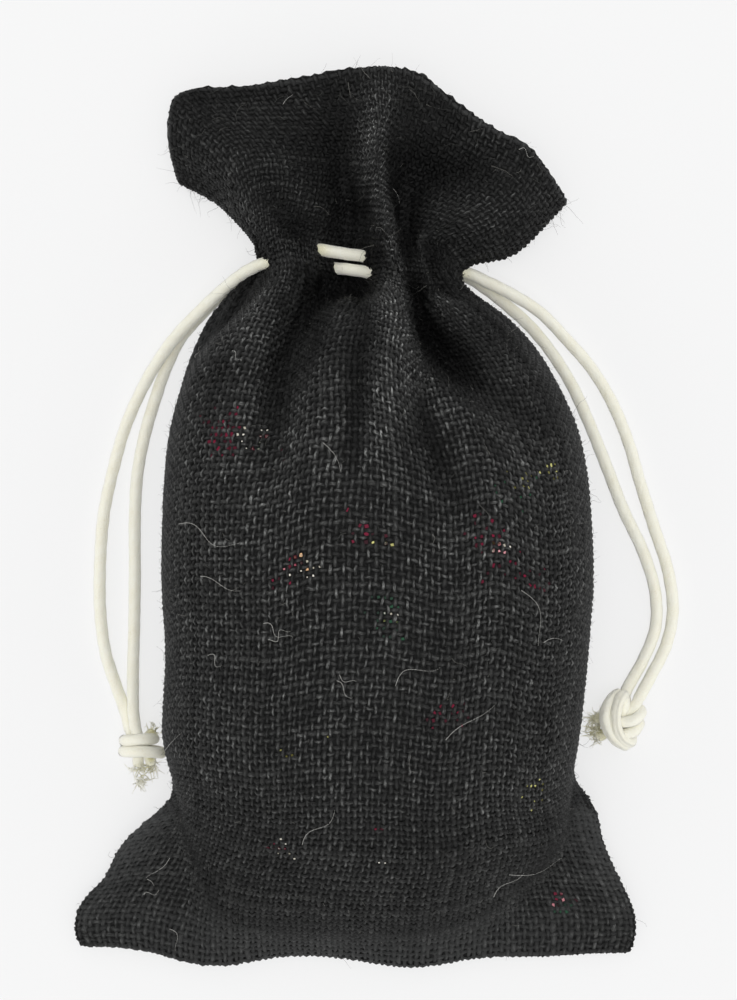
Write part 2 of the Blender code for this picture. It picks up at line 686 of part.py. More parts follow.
def new_object(name, data, collection, material=None):
    made = bpy.data.objects.new(name, data)
    collection.objects.link(made)
    if material:
        data.materials.append(material)
    return made


def tube(name, points, diameter, collection, material=None):
    """A round tube along the points, which are already in the scene's frame, in metres."""
    curve = bpy.data.curves.new(name, "CURVE")
    curve.dimensions = "3D"
    curve.bevel_depth = diameter * MM / 2
    curve.bevel_resolution = 2
    curve.use_fill_caps = True
    spline = curve.splines.new("POLY")
    spline.points.add(len(points) - 1)
    for place, point in zip(spline.points, points):
        place.co = (*point, 1)
    return new_object(name, curve, collection, material)


def as_mesh(obj, collection):
    """The curve's mesh as a new object with its caps welded; the curve is removed."""
    bpy.context.view_layer.update()
    graph = bpy.context.evaluated_depsgraph_get()
    mesh = bpy.data.meshes.new_from_object(obj.evaluated_get(graph))
    made = new_object(obj.name + "_solid", mesh, collection)
    made.matrix_world = obj.matrix_world
    bpy.data.objects.remove(obj)
    shell = bmesh.new()
    shell.from_mesh(mesh)
    bmesh.ops.remove_doubles(shell, verts=shell.verts, dist=1e-6)
    bmesh.ops.recalc_face_normals(shell, faces=shell.faces)
    shell.to_mesh(mesh)
    shell.free()
    return made


def hide_helper(obj):
    obj.hide_render = True
    obj.display_type = "WIRE"


def boolean(target, other, operation):
    made = target.modifiers.new(f"{operation.lower()}_{other.name}", "BOOLEAN")
    made.operation = operation
    made.object = other
    made.solver = "EXACT"


def inward_offset(grid, rows, walls):
    """The inside of the ruffle: the given rows of the cloth, moved in by the wall."""
    across = np.roll(grid, -1, 1) - np.roll(grid, 1, 1)
    along = np.gradient(grid, axis=0)
    normal = np.cross(across, along)
    normal /= np.linalg.norm(normal, axis=2, keepdims=True) + 1e-9
    for _ in range(3):
        normal = (np.roll(normal, 1, 1) + 2 * normal + np.roll(normal, -1, 1)) / 4
    return [grid[row] - normal[row] * wall for row, wall in zip(rows, walls)]


def make_sack(surface, shift, collection, material):
    around = side_by_side(AROUND)
    along = np.linspace(0, 1, ROWS + 1)
    outer = read_grid(surface, along[:, None], around[None, :])
    mouth_rows = range(ROWS, ROWS - MOUTH_ROWS - 1, -1)
    walls = [HEM_WALL] + [WALL] * MOUTH_ROWS
    inner = inward_offset(outer, mouth_rows, walls)

    shell = bmesh.new()
    loops = []
    for loop in [*outer, *inner]:
        loops.append([shell.verts.new((Vector(p) + shift) * MM) for p in loop])
    count = len(around)
    for low, high in zip(loops, loops[1:]):
        for i in range(count):
            j = (i + 1) % count
            shell.faces.new((low[i], low[j], high[j], high[i]))
    for loop, turned in ((loops[0], False), (loops[-1], True)):
        for i in range(1, count // 2 - 1):
            quad = (loop[i], loop[i + 1], loop[count - i - 1], loop[count - i])
            shell.faces.new(quad if turned else quad[::-1])
        for a, b, c in ((0, 1, -1), (count // 2, count // 2 + 1, count // 2 - 1)):
            corner = (loop[a], loop[b], loop[c])
            shell.faces.new(corner if turned else corner[::-1])
    bmesh.ops.recalc_face_normals(shell, faces=shell.faces)
    mesh = bpy.data.meshes.new("sack")
    shell.to_mesh(mesh)
    shell.free()
    made = new_object("sack", mesh, collection, material)
    mesh.shade_smooth()
    return made


def make_cords(sack, shift, parts, cutters, material):
    """The held stretches with the channels that they need, and the free strands."""
    for name, route in (("drawcord_left_neck", LEFT_HELD), ("drawcord_right_neck", RIGHT_HELD)):
        points = (smooth_route(route, HELD_STEP) + shift) * MM
        tube(name, points, CORD_D, parts, material)
        ends = points[[0, -1]]
        beyond = ends + (ends - points[[1, -2]]) * CHANNEL_PAST
        longer = np.concatenate([beyond[:1], points, beyond[1:]])
        channel = as_mesh(tube(name + "_channel", longer, CORD_D + 2 * CORD_GAP, cutters), cutters)
        hide_helper(channel)
        boolean(sack, channel, "DIFFERENCE")
    for name, route in FREE_STRANDS.items():
        tube(name, (smooth_route(route, CORD_STEP) + shift) * MM, CORD_D, parts, material)


def make_knot(name, shift, parts, cutters, material):
    """A lump with slanting grooves between its wraps, joined with its frayed ends."""
    knot = KNOTS[name]
    shape = bmesh.new()
    bmesh.ops.create_uvsphere(shape, u_segments=24, v_segments=14, radius=1)
    turn = math.radians(knot["turn"])
    for vert in shape.verts:
        x, y, z = vert.co
        wrap = math.cos(2 * math.pi * KNOT_WRAPS * (y + 0.35 * x) / 2)
        size = 1 - KNOT_GROOVE * (1 - wrap)
        x, y, z = (c * size * h for c, h in zip((x, y, z), knot["half"]))
        place = Vector((x * math.cos(turn) - y * math.sin(turn), x * math.sin(turn) + y * math.cos(turn), z))
        place += Vector(knot["centre"])
        place.z = max(place.z, FLOOR_CLEAR)
        vert.co = (place + shift) * MM
    mesh = bpy.data.meshes.new(name)
    shape.to_mesh(mesh)
    shape.free()
    made = new_object(name, mesh, parts, material)
    for index, (start, finish, radius0, radius1) in enumerate(knot["ends"]):
        end = frayed_end(f"{name}_end_{index}", start, finish, radius0, radius1, shift, cutters)
        boolean(made, end, "UNION")
    mesh.shade_smooth()


def frayed_end(name, start, finish, radius0, radius1, shift, collection):
    start, finish = Vector(start), Vector(finish)
    shape = bmesh.new()
    bmesh.ops.create_cone(
        shape,
        cap_ends=True,
        segments=10,
        radius1=radius0 * MM,
        radius2=radius1 * MM,
        depth=(finish - start).length * MM,
    )
    mesh = bpy.data.meshes.new(name)
    shape.to_mesh(mesh)
    shape.free()
    made = new_object(name, mesh, collection)
    made.rotation_euler = (finish - start).to_track_quat("Z", "Y").to_euler()
    made.location = ((start + finish) / 2 + shift) * MM
    hide_helper(made)
    return made


def main():
    clear_scene()
    parts = new_collection("hessian_sack")
    cutters = new_collection("cutters")
    cloth, cotton = new_material("hessian"), new_material("cotton")
    surface = sack_surface()
    coarse = read_grid(surface, np.linspace(0, 1, ROWS + 1)[:, None], side_by_side(AROUND)[None, :])
    flat = coarse.reshape(-1, 3)
    middle = (flat.min(0) + flat.max(0)) / 2
    shift = Vector((-middle[0], -middle[1], -flat[:, 2].min()))
    sack = make_sack(surface, shift, parts, cloth)
    make_cords(sack, shift, parts, cutters, cotton)
    for name in KNOTS:
        make_knot(name, shift, parts, cutters, cotton)


main()
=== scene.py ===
"""The looks of a hessian drawstring sack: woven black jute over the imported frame, with cream
cotton drawcords that leave the gathered neck left and right and end in a knot each.

Tables are in millimetres in a layout frame: +Y runs towards the mouth, +X to the right, Z=0
is the surface that the sack lies on, and the camera stands over its origin. The cloth's shift
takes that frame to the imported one. A place on the cloth has two cloth coordinates. Around
runs 0 to 1 over the front, from the left side seam to the right one, and 1 to 2 back under
the sack. The other is the length of cloth from the bottom seam, in millimetres.
"""

import math

import bpy
import numpy as np
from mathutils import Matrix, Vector
from mathutils.bvhtree import BVHTree

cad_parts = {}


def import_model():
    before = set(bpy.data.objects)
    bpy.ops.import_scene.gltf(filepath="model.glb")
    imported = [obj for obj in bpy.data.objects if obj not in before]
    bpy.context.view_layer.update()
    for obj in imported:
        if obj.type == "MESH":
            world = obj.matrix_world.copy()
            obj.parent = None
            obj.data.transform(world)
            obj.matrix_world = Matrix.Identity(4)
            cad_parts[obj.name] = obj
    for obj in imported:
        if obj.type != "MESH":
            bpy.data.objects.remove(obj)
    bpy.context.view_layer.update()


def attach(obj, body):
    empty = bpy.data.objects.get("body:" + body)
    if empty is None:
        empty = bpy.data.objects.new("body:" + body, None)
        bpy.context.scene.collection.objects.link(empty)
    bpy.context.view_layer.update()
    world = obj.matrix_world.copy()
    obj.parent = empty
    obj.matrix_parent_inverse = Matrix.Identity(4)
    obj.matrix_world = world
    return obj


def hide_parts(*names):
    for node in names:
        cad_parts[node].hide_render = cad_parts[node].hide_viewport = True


MM = 0.001
BODY = "root"

# --- the sack ---

# Cross sections of the filled body, from the bottom seam to the shoulder. left and right
# are the side seams' places, side the height they lie at and crown the height of the
# middle. Between dome_left and dome_right the filling lifts the cloth; outside them lie the
# flat ears. blunt and steep shape the dome, and puff is the ears' half thickness.
BODY_COLUMNS = "y left right side crown dome_left dome_right blunt steep puff".split()
BODY_SECTIONS = (
    (-119.5, -81.3, 74.0, 4.0, 11.0, -54.0, 40.0, 2.0, 0.80, 1.6),
    (-114.5, -81.2, 74.1, 4.2, 19.5, -49.0, 39.0, 2.2, 0.75, 2.4),
    (-107.0, -77.9, 71.4, 4.8, 29.0, -47.5, 43.0, 2.4, 0.68, 3.0),
    (-99.0, -71.9, 67.5, 5.8, 36.5, -48.5, 49.0, 2.5, 0.60, 3.4),
    (-91.5, -66.4, 64.3, 7.5, 42.5, -50.3, 53.4, 2.5, 0.55, 3.4),
    (-85.0, -59.2, 63.1, 10.0, 47.0, -51.2, 54.4, 2.5, 0.52, 2.6),
    (-79.0, -53.6, 59.6, 14.0, 51.5, -51.2, 54.4, 2.5, 0.50, 1.2),
    (-72.0, -52.8, 54.6, 19.0, 55.0, -52.8, 54.6, 2.5, 0.50, 0.0),
    (-62.0, -54.7, 55.9, 22.5, 58.0, -54.7, 55.9, 2.4, 0.50, 0.0),
    (-40.0, -53.6, 58.0, 25.0, 61.5, -53.6, 58.0, 2.3, 0.50, 0.0),
    (-20.0, -54.6, 59.3, 25.5, 62.5, -54.6, 59.3, 2.3, 0.50, 0.0),
    (0.0, -54.2, 58.5, 25.0, 61.5, -54.2, 58.5, 2.3, 0.50, 0.0),
    (16.0, -53.0, 56.2, 23.5, 58.5, -53.0, 56.2, 2.2, 0.50, 0.0),
    (30.0, -50.1, 50.7, 21.0, 53.5, -50.1, 50.7, 2.2, 0.50, 0.0),
    (42.0, -46.0, 43.4, 18.5, 46.5, -46.0, 43.4, 2.1, 0.50, 0.0),
    (51.0, -41.0, 34.0, 16.0, 38.5, -41.0, 34.0, 2.1, 0.50, 0.0),
)

# The bottom seam joins the two layers: its line in plan, and the waves it lies in.
SEAM_LEFT = (-79.4, -120.8)
SEAM_RIGHT = (72.3, -122.5)
SEAM_HEIGHT = 4.2
SEAM_HALF_THICKNESS = 1.3
SEAM_WAVES = (  # x of the middle, half width, reach towards -Y, rise
    (-43.0, 15.0, 4.2, 1.4),
    (-22.0, 24.0, 1.9, 0.0),
    (12.0, 19.0, 4.6, 2.0),
    (46.0, 15.0, 1.4, -0.4),
)

# Pleats at the neck, each a line that runs up the cloth from the shoulder to the hem: where
# it passes the gathered neck, the middle of the ruffle and the hem. fade is how far below
# the neck its pleat dies out into the shoulder.
PLEAT_COLUMNS = "around fade neck_x neck_z mid_x mid_y mid_z hem_x hem_y hem_z".split()
PLEATS = {
    "left_seam": (0.000, 14, -27.4, 11.0, -42.4, 80.2, 7.5, -51.0, 84.1, 6.0),
    "left_flap_edge": (0.090, 14, -26.0, 19.0, -41.5, 84.6, 15.5, -54.5, 99.2, 11.5),
    "left_flap_corner": (0.145, 17, -24.2, 24.2, -37.2, 87.4, 21.5, -52.8, 108.0, 14.5),
    "left_flap": (0.210, 20, -20.6, 27.4, -30.5, 89.2, 25.5, -43.0, 109.2, 17.0),
    "left_valley": (0.365, 17, -7.2, 14.2, -8.2, 87.3, 18.0, -14.4, 112.6, 21.0),
    "ridge_foot": (0.450, 17, -3.0, 14.8, -3.4, 87.8, 20.5, -5.4, 114.0, 23.0),
    "centre_ridge": (0.535, 62, 5.4, 31.5, 2.4, 88.0, 34.0, 3.8, 114.2, 28.0),
    "ridge_flank": (0.620, 46, 9.2, 21.5, 8.2, 86.6, 17.0, 14.8, 112.2, 22.0),
    "lobe_root": (0.700, 34, 12.0, 24.5, 13.4, 84.2, 14.0, 22.0, 107.0, 17.5),
    "right_panel": (0.790, 28, 15.4, 20.5, 22.6, 83.4, 18.4, 33.0, 98.8, 19.8),
    "right_panel_edge": (0.850, 26, 17.0, 19.5, 27.0, 79.2, 21.6, 42.4, 94.4, 19.2),
    "right_ridge": (0.905, 24, 18.2, 19.5, 29.8, 74.2, 24.0, 50.2, 85.2, 15.5),
    "right_seam": (1.000, 14, 21.4, 12.0, 37.6, 64.6, 11.0, 54.6, 79.6, 7.0),
    "under_right": (1.150, 14, 17.0, 2.2, 30.0, 74.0, 2.6, 44.0, 86.5, 1.2),
    "under_right_tuck": (1.300, 14, 11.5, 5.6, 20.5, 80.0, 6.0, 30.5, 99.0, 5.5),
    "under_middle_right": (1.420, 14, 5.5, 1.0, 9.5, 84.5, 1.0, 15.0, 106.5, 0.8),
    "under_middle_tuck": (1.520, 14, -0.5, 5.4, -1.0, 86.5, 6.0, -0.5, 109.0, 6.5),
    "under_middle_left": (1.630, 14, -7.5, 1.0, -10.5, 87.0, 1.0, -16.0, 109.0, 0.8),
    "under_left_tuck": (1.750, 14, -14.0, 5.6, -20.0, 86.0, 5.6, -30.5, 106.0, 5.5),
    "under_left": (1.880, 14, -21.5, 2.2, -32.5, 82.5, 2.2, -45.5, 99.0, 1.2),
}
# The drawcords gather the cloth between two lines across it: y at x=0, its slope along x,
# and how much wider than the pleats' table the gathers are, left and right.
NECK_LINES = (
    (59.8, -0.13, 1.01, 1.16),
    (64.4, -0.10, 1.09, 1.10),
)
NECK_Y = NECK_LINES[0][0]
NECK_CROWN = 29.0

# Folds of the front, each a line in plan that presses the cloth down by its depth (below 0
# it lifts a ridge). left and right are its widths to either side, seen along the line.
FOLD_COLUMNS = "x y depth left right".split()
FOLDS = {
    "right_pocket": (
        (12.2, 57.5, 6.0, 2.4, 1.6), (14.4, 48.0, 13.0, 4.4, 2.4), (17.8, 41.0, 16.0, 6.2, 3.8),
        (23.4, 33.6, 14.0, 5.6, 4.6), (30.0, 27.2, 6.0, 4.6, 4.0), (36.0, 22.0, 1.5, 5.0, 4.0),
    ),
    "right_pocket_side": (
        (11.8, 54.0, 4.0, 2.4, 1.4), (12.8, 44.0, 9.0, 4.0, 1.6), (14.4, 36.0, 5.0, 5.0, 2.0),
    ),
    "centre_ridge": (
        (7.4, 56.0, -1.0, 3.0, 2.6), (7.0, 45.0, -4.0, 3.8, 3.0), (5.2, 35.5, -5.0, 4.2, 3.4),
        (4.4, 20.5, -3.6, 4.4, 4.0), (3.4, 4.0, -0.5, 5.0, 5.0),
    ),
    "right_of_centre_ridge": (
        (12.0, 33.5, 3.0, 4.5, 1.8), (14.2, 20.5, 4.6, 4.8, 1.8), (19.2, 5.5, 3.2, 4.8, 2.2),
        (24.0, -3.0, 0.6, 5.0, 3.0),
    ),
    "left_of_centre_ridge": (
        (-1.4, 50.0, 3.4, 2.2, 3.0), (-2.4, 38.0, 3.8, 2.0, 3.0), (-3.0, 26.0, 3.8, 2.0, 3.0),
        (-3.6, 13.0, 2.4, 2.2, 3.2), (-3.8, 2.0, 0.4, 3.0, 3.0),
    ),
    "under_the_cords": (
        (-10.2, 56.4, 9.0, 2.4, 3.6), (-1.4, 55.4, 10.0, 2.4, 3.6),
    ),
    "left_shoulder_valley": (
        (-12.6, 56.4, 6.0, 3.8, 3.2), (-17.6, 46.6, 15.0, 6.0, 4.4), (-21.6, 36.5, 15.0, 6.6, 4.8),
        (-24.0, 21.0, 10.0, 6.0, 4.6), (-25.4, 8.5, 4.0, 5.5, 5.0),
    ),
    "left_shoulder_ridge": (
        (-27.0, 54.0, -1.0, 4.0, 1.6), (-33.5, 46.6, -2.4, 4.5, 1.6),
        (-40.0, 42.4, -2.4, 4.5, 1.6), (-44.6, 36.6, -1.8, 4.5, 1.6),
        (-47.4, 26.0, -1.0, 4.5, 1.8), (-49.2, 13.0, -0.3, 4.5, 2.0),
    ),
    "left_shoulder_tuck": (
        (-28.0, 58.0, 8.0, 2.4, 4.0), (-34.0, 52.6, 18.0, 3.4, 4.6), (-39.8, 47.4, 20.0, 3.2, 4.6),
        (-45.2, 41.4, 16.0, 2.6, 4.0), (-49.2, 33.0, 8.0, 2.0, 3.4), (-50.8, 22.0, 2.0, 1.8, 3.0),
    ),
    "right_shoulder_swell": (
        (24.0, 54.0, -1.0, 4.0, 4.0), (40.0, 30.0, -1.6, 8.0, 6.0),
    ),
    "ruffle_left_valley": (
        (-7.4, 102.0, 1.6, 3.6, 4.0), (-7.2, 90.0, 4.4, 2.2, 3.0), (-6.0, 78.0, 6.0, 1.8, 2.4),
        (-6.0, 70.0, 4.0, 1.8, 2.4),
    ),
    "ruffle_ridge": (
        (4.0, 111.0, -1.6, 5.0, 5.0), (2.2, 98.0, -2.8, 4.4, 4.4), (1.8, 88.0, -3.0, 4.0, 4.0),
        (3.4, 78.0, -2.4, 3.6, 3.6), (4.2, 66.4, -3.0, 2.8, 2.8),
    ),
    "ruffle_right_valley": (
        (10.2, 65.5, 5.0, 2.0, 2.0), (9.0, 76.0, 7.0, 2.0, 2.6), (9.8, 84.0, 7.5, 2.6, 3.0),
        (14.4, 88.8, 5.5, 4.4, 3.2), (23.0, 88.4, 4.0, 4.4, 3.4), (33.5, 84.6, 2.0, 5.0, 4.0),
    ),
    "lobe_swell": (
        (18.0, 75.0, -4.0, 5.5, 6.0), (29.0, 75.4, -4.0, 6.5, 7.0), (38.0, 77.4, -2.0, 7.0, 7.0),
    ),
    "lobe_pocket": (
        (16.4, 66.0, 6.0, 2.0, 2.0), (21.0, 67.0, 3.4, 2.4, 2.2),
    ),
    "flap_crease": (
        (-32.0, 88.0, 1.0, 3.0, 2.4), (-25.6, 79.4, 6.0, 3.4, 2.2), (-19.4, 72.0, 8.0, 3.2, 2.2),
        (-17.0, 66.6, 2.0, 2.4, 2.0),
    ),
    "flap_rim": (
        (-41.0, 87.0, -1.2, 3.0, 3.0), (-33.0, 76.0, -2.4, 3.0, 2.6),
        (-26.5, 68.0, -1.6, 2.6, 2.4),
    ),
    "flap_swell": (
        (-24.0, 89.0, -1.2, 5.0, 5.0), (-17.4, 77.0, -2.2, 3.6, 3.6),
    ),
    "flap_drag": (
        (-40.0, 97.6, 0.7, 3.5, 3.0), (-10.0, 97.0, 1.2, 3.5, 3.0),
    ),
    "left_ear_crease": (
        (-52.5, -74.0, 1.0, 2.0, 3.4), (-51.4, -86.0, 3.2, 2.0, 4.6),
        (-49.4, -98.0, 2.6, 2.4, 4.6), (-46.0, -112.0, 0.8, 3.0, 5.0),
    ),
    "right_ear_crease": (
        (54.8, -74.0, 1.0, 4.0, 2.0), (54.6, -90.0, 3.0, 4.4, 2.0), (48.0, -101.0, 3.4, 4.6, 2.2),
        (38.0, -110.0, 2.6, 4.6, 2.6), (28.0, -116.5, 1.2, 4.6, 3.0),
    ),
    "bottom_drag": (
        (-22.0, -121.0, 1.2, 5.0, 5.0), (-18.0, -96.0, 0.8, 8.0, 8.0),
    ),
    "bottom_drag_right": (
        (36.0, -121.0, 0.9, 5.0, 5.0), (30.0, -98.0, 0.6, 7.0, 7.0),
    ),
}
FOLD_CLEARANCE = 1.0  # no fold goes deeper than this above the line from seam to seam
LUMPS = (  # the filling pushes out here: x, y, radius, height
    (-30.0, -12.0, 17.0, 1.3), (22.0, -20.0, 18.0, 1.2), (-8.0, -48.0, 18.0, 1.1),
    (33.0, 4.0, 14.0, 0.9), (-38.0, -58.0, 15.0, 1.0), (30.0, -66.0, 16.0, 1.1),
    (-14.0, 14.0, 13.0, 0.8), (2.0, -88.0, 15.0, 0.9),
)

LOOP_FINE = 160  # half a loop round the sack is worked out this finely
EAR_EDGE = 0.6  # how full the ears' edges are, and how thick the ears are below the seams
EAR_BELOW = 0.6
UNDER_DROP = 1.22  # how far the filling takes the underside down, in heights of the side
PLEAT_FADE = 1.5
SEAM_Y = 122  # folds die out towards the bottom seam, over this length of y, and at the sides
SEAM_FADE = 6
SIDE_FADE = 0.3
ROWS_FINE = 150  # the surface is worked out this finely, then spaced evenly
AROUND_FINE = 240
SOFTEN_TIMES = 3
FLAT_PRESS = 0.25  # what the underside gives way where it lies flat
ROWS = 44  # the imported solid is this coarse
AROUND = 92

# --- the drawcords ---

CORD_D = 3.3

# Where each held stretch passes through the gathers, from its own knot's side round and back.
LEFT_HELD = (
    (-29.2, 62.8, 16.0), (-25.8, 63.6, 17.4), (-20.6, 63.8, 15.8), (-13.6, 62.9, 13.0),
    (-9.2, 62.1, 14.4), (-5.4, 61.5, 17.2), (-1.6, 60.9, 17.7), (2.2, 60.2, 16.6),
    (7.6, 59.4, 11.8), (13.5, 58.6, 9.4), (17.4, 58.1, 8.3), (18.0, 58.0, 6.4), (15.0, 58.4, 4.7),
    (7.0, 59.4, 4.2), (-2.0, 60.6, 4.0), (-12.0, 62.0, 4.2), (-20.4, 63.4, 6.0),
    (-25.6, 63.8, 9.2), (-29.3, 63.0, 9.7),
)
RIGHT_HELD = (
    (22.9, 61.9, 9.9), (18.0, 62.8, 9.6), (13.5, 63.2, 9.4), (7.5, 63.8, 11.8), (2.2, 64.6, 15.2),
    (-2.0, 65.1, 17.4), (-7.4, 65.8, 17.7), (-12.6, 66.7, 17.0), (-18.0, 67.4, 12.6),
    (-22.4, 67.8, 9.4), (-22.7, 67.8, 7.2), (-19.0, 67.4, 4.8), (-11.0, 66.4, 4.1),
    (-2.0, 65.2, 4.0), (7.0, 64.0, 4.1), (15.0, 62.9, 4.8), (22.8, 61.9, 5.8),
)

FLOOR_Z = CORD_D / 2 + 0.15
FREE_STRANDS = {
    "drawcord_left_outer": (
        (-30.1, 62.5, 15.5), (-33.6, 60.8, 13.3), (-38.9, 57.0, 10.2), (-45.9, 50.8, 7.4),
        (-52.2, 44.4, 5.6), (-57.5, 37.2, 4.7), (-62.0, 29.4, 3.4), (-66.4, 19.6, FLOOR_Z),
        (-69.9, 7.1, FLOOR_Z), (-72.2, -4.1, FLOOR_Z), (-73.2, -18.0, FLOOR_Z),
        (-73.1, -31.0, FLOOR_Z), (-71.6, -42.0, FLOOR_Z), (-68.9, -50.4, FLOOR_Z),
        (-66.4, -57.4, 1.9), (-65.0, -62.4, 2.6),
    ),
    "drawcord_left_inner": (
        (-30.5, 62.5, 9.5), (-34.0, 60.6, 8.2), (-39.0, 56.6, 5.0), (-45.6, 50.4, 2.8),
        (-51.4, 43.8, FLOOR_Z), (-55.1, 36.2, FLOOR_Z), (-58.2, 27.3, FLOOR_Z),
        (-61.0, 17.7, FLOOR_Z), (-63.0, 7.0, FLOOR_Z), (-63.7, -5.0, FLOOR_Z),
        (-63.7, -20.0, FLOOR_Z), (-63.9, -35.0, FLOOR_Z), (-64.2, -46.0, 1.8), (-64.1, -52.6, 3.1),
        (-63.8, -57.6, 5.0), (-63.2, -61.7, 6.2),
    ),
    "drawcord_right_outer": (
        (23.8, 61.7, 9.9), (26.8, 61.2, 9.6), (31.4, 59.2, 8.6), (38.6, 55.8, 6.8),
        (46.6, 50.9, 5.0), (54.0, 43.6, 3.0), (60.8, 35.9, FLOOR_Z), (66.3, 26.8, FLOOR_Z),
        (70.8, 16.0, FLOOR_Z), (74.0, 5.0, FLOOR_Z), (77.9, -7.5, FLOOR_Z), (81.6, -19.0, FLOOR_Z),
        (83.0, -30.0, FLOOR_Z), (81.2, -39.5, FLOOR_Z), (76.8, -48.2, 2.6), (73.6, -53.6, 4.4),
    ),
    "drawcord_right_inner": (
        (23.7, 61.7, 5.8), (26.6, 60.6, 5.4), (31.0, 58.0, 4.4), (37.4, 53.2, 2.8),
        (43.8, 47.6, FLOOR_Z), (49.4, 40.9, FLOOR_Z), (55.3, 31.6, FLOOR_Z), (60.0, 21.4, FLOOR_Z),
        (64.6, 10.0, FLOOR_Z), (69.4, -2.4, FLOOR_Z), (75.0, -14.4, FLOOR_Z),
        (78.2, -25.2, FLOOR_Z), (78.2, -35.0, FLOOR_Z), (74.8, -43.8, FLOOR_Z), (71.2, -50.0, 2.6),
        (69.2, -53.6, 4.4),
    ),
}

CORD_SIDES = 16
CORD_FINE_STEP = 0.9
CORD_PLIES = 3
CORD_LAY = 15.0  # one turn of the plies
CORD_RELIEF = 0.07
RELIEF_MEAN = 0.64  # taken off the plies' relief, so that the cord keeps its mean size
CORD_UNEVEN = 0.022
CORD_CAP = 0.7  # the soft end's length, in radii
CAP_SHARES = (0.0, 0.45, 0.8, 0.96)
CORDS_APART = 50  # so that no two stretches share their fibres
KNOT_CORD = 3.15  # the cord is drawn a little thinner in the knots
KNOT_STEP = 0.6
KNOT_RUN_D = 0.96  # the strands inside the wraps, as a share of them
FRAY_RADIUS = 0.17
FRAY_SCATTER = 0.75
FRAY_CURL = (7, 1.1, 0.3)  # steps, wildness, droop
FRAY_LOWEST = 0.2
CURL_SHAKE = 0.25
HAIR_TIP = 0.35  # of the radius at the root
CORD_SHADE = (  # painted shade, in the stain colour, where the cords go into the cloth's gathers
    ((-25.0, 63.0, 16.0), 3.6, 0.55), ((23.5, 60.0, 12.0), 3.6, 0.5),
    ((-12.6, 66.6, 17.6), 2.2, 0.6), ((-9.4, 62.0, 15.0), 1.6, 0.5),
    ((-0.8, 65.0, 17.6), 1.4, 0.35), ((0.4, 60.6, 17.6), 1.4, 0.35),
)
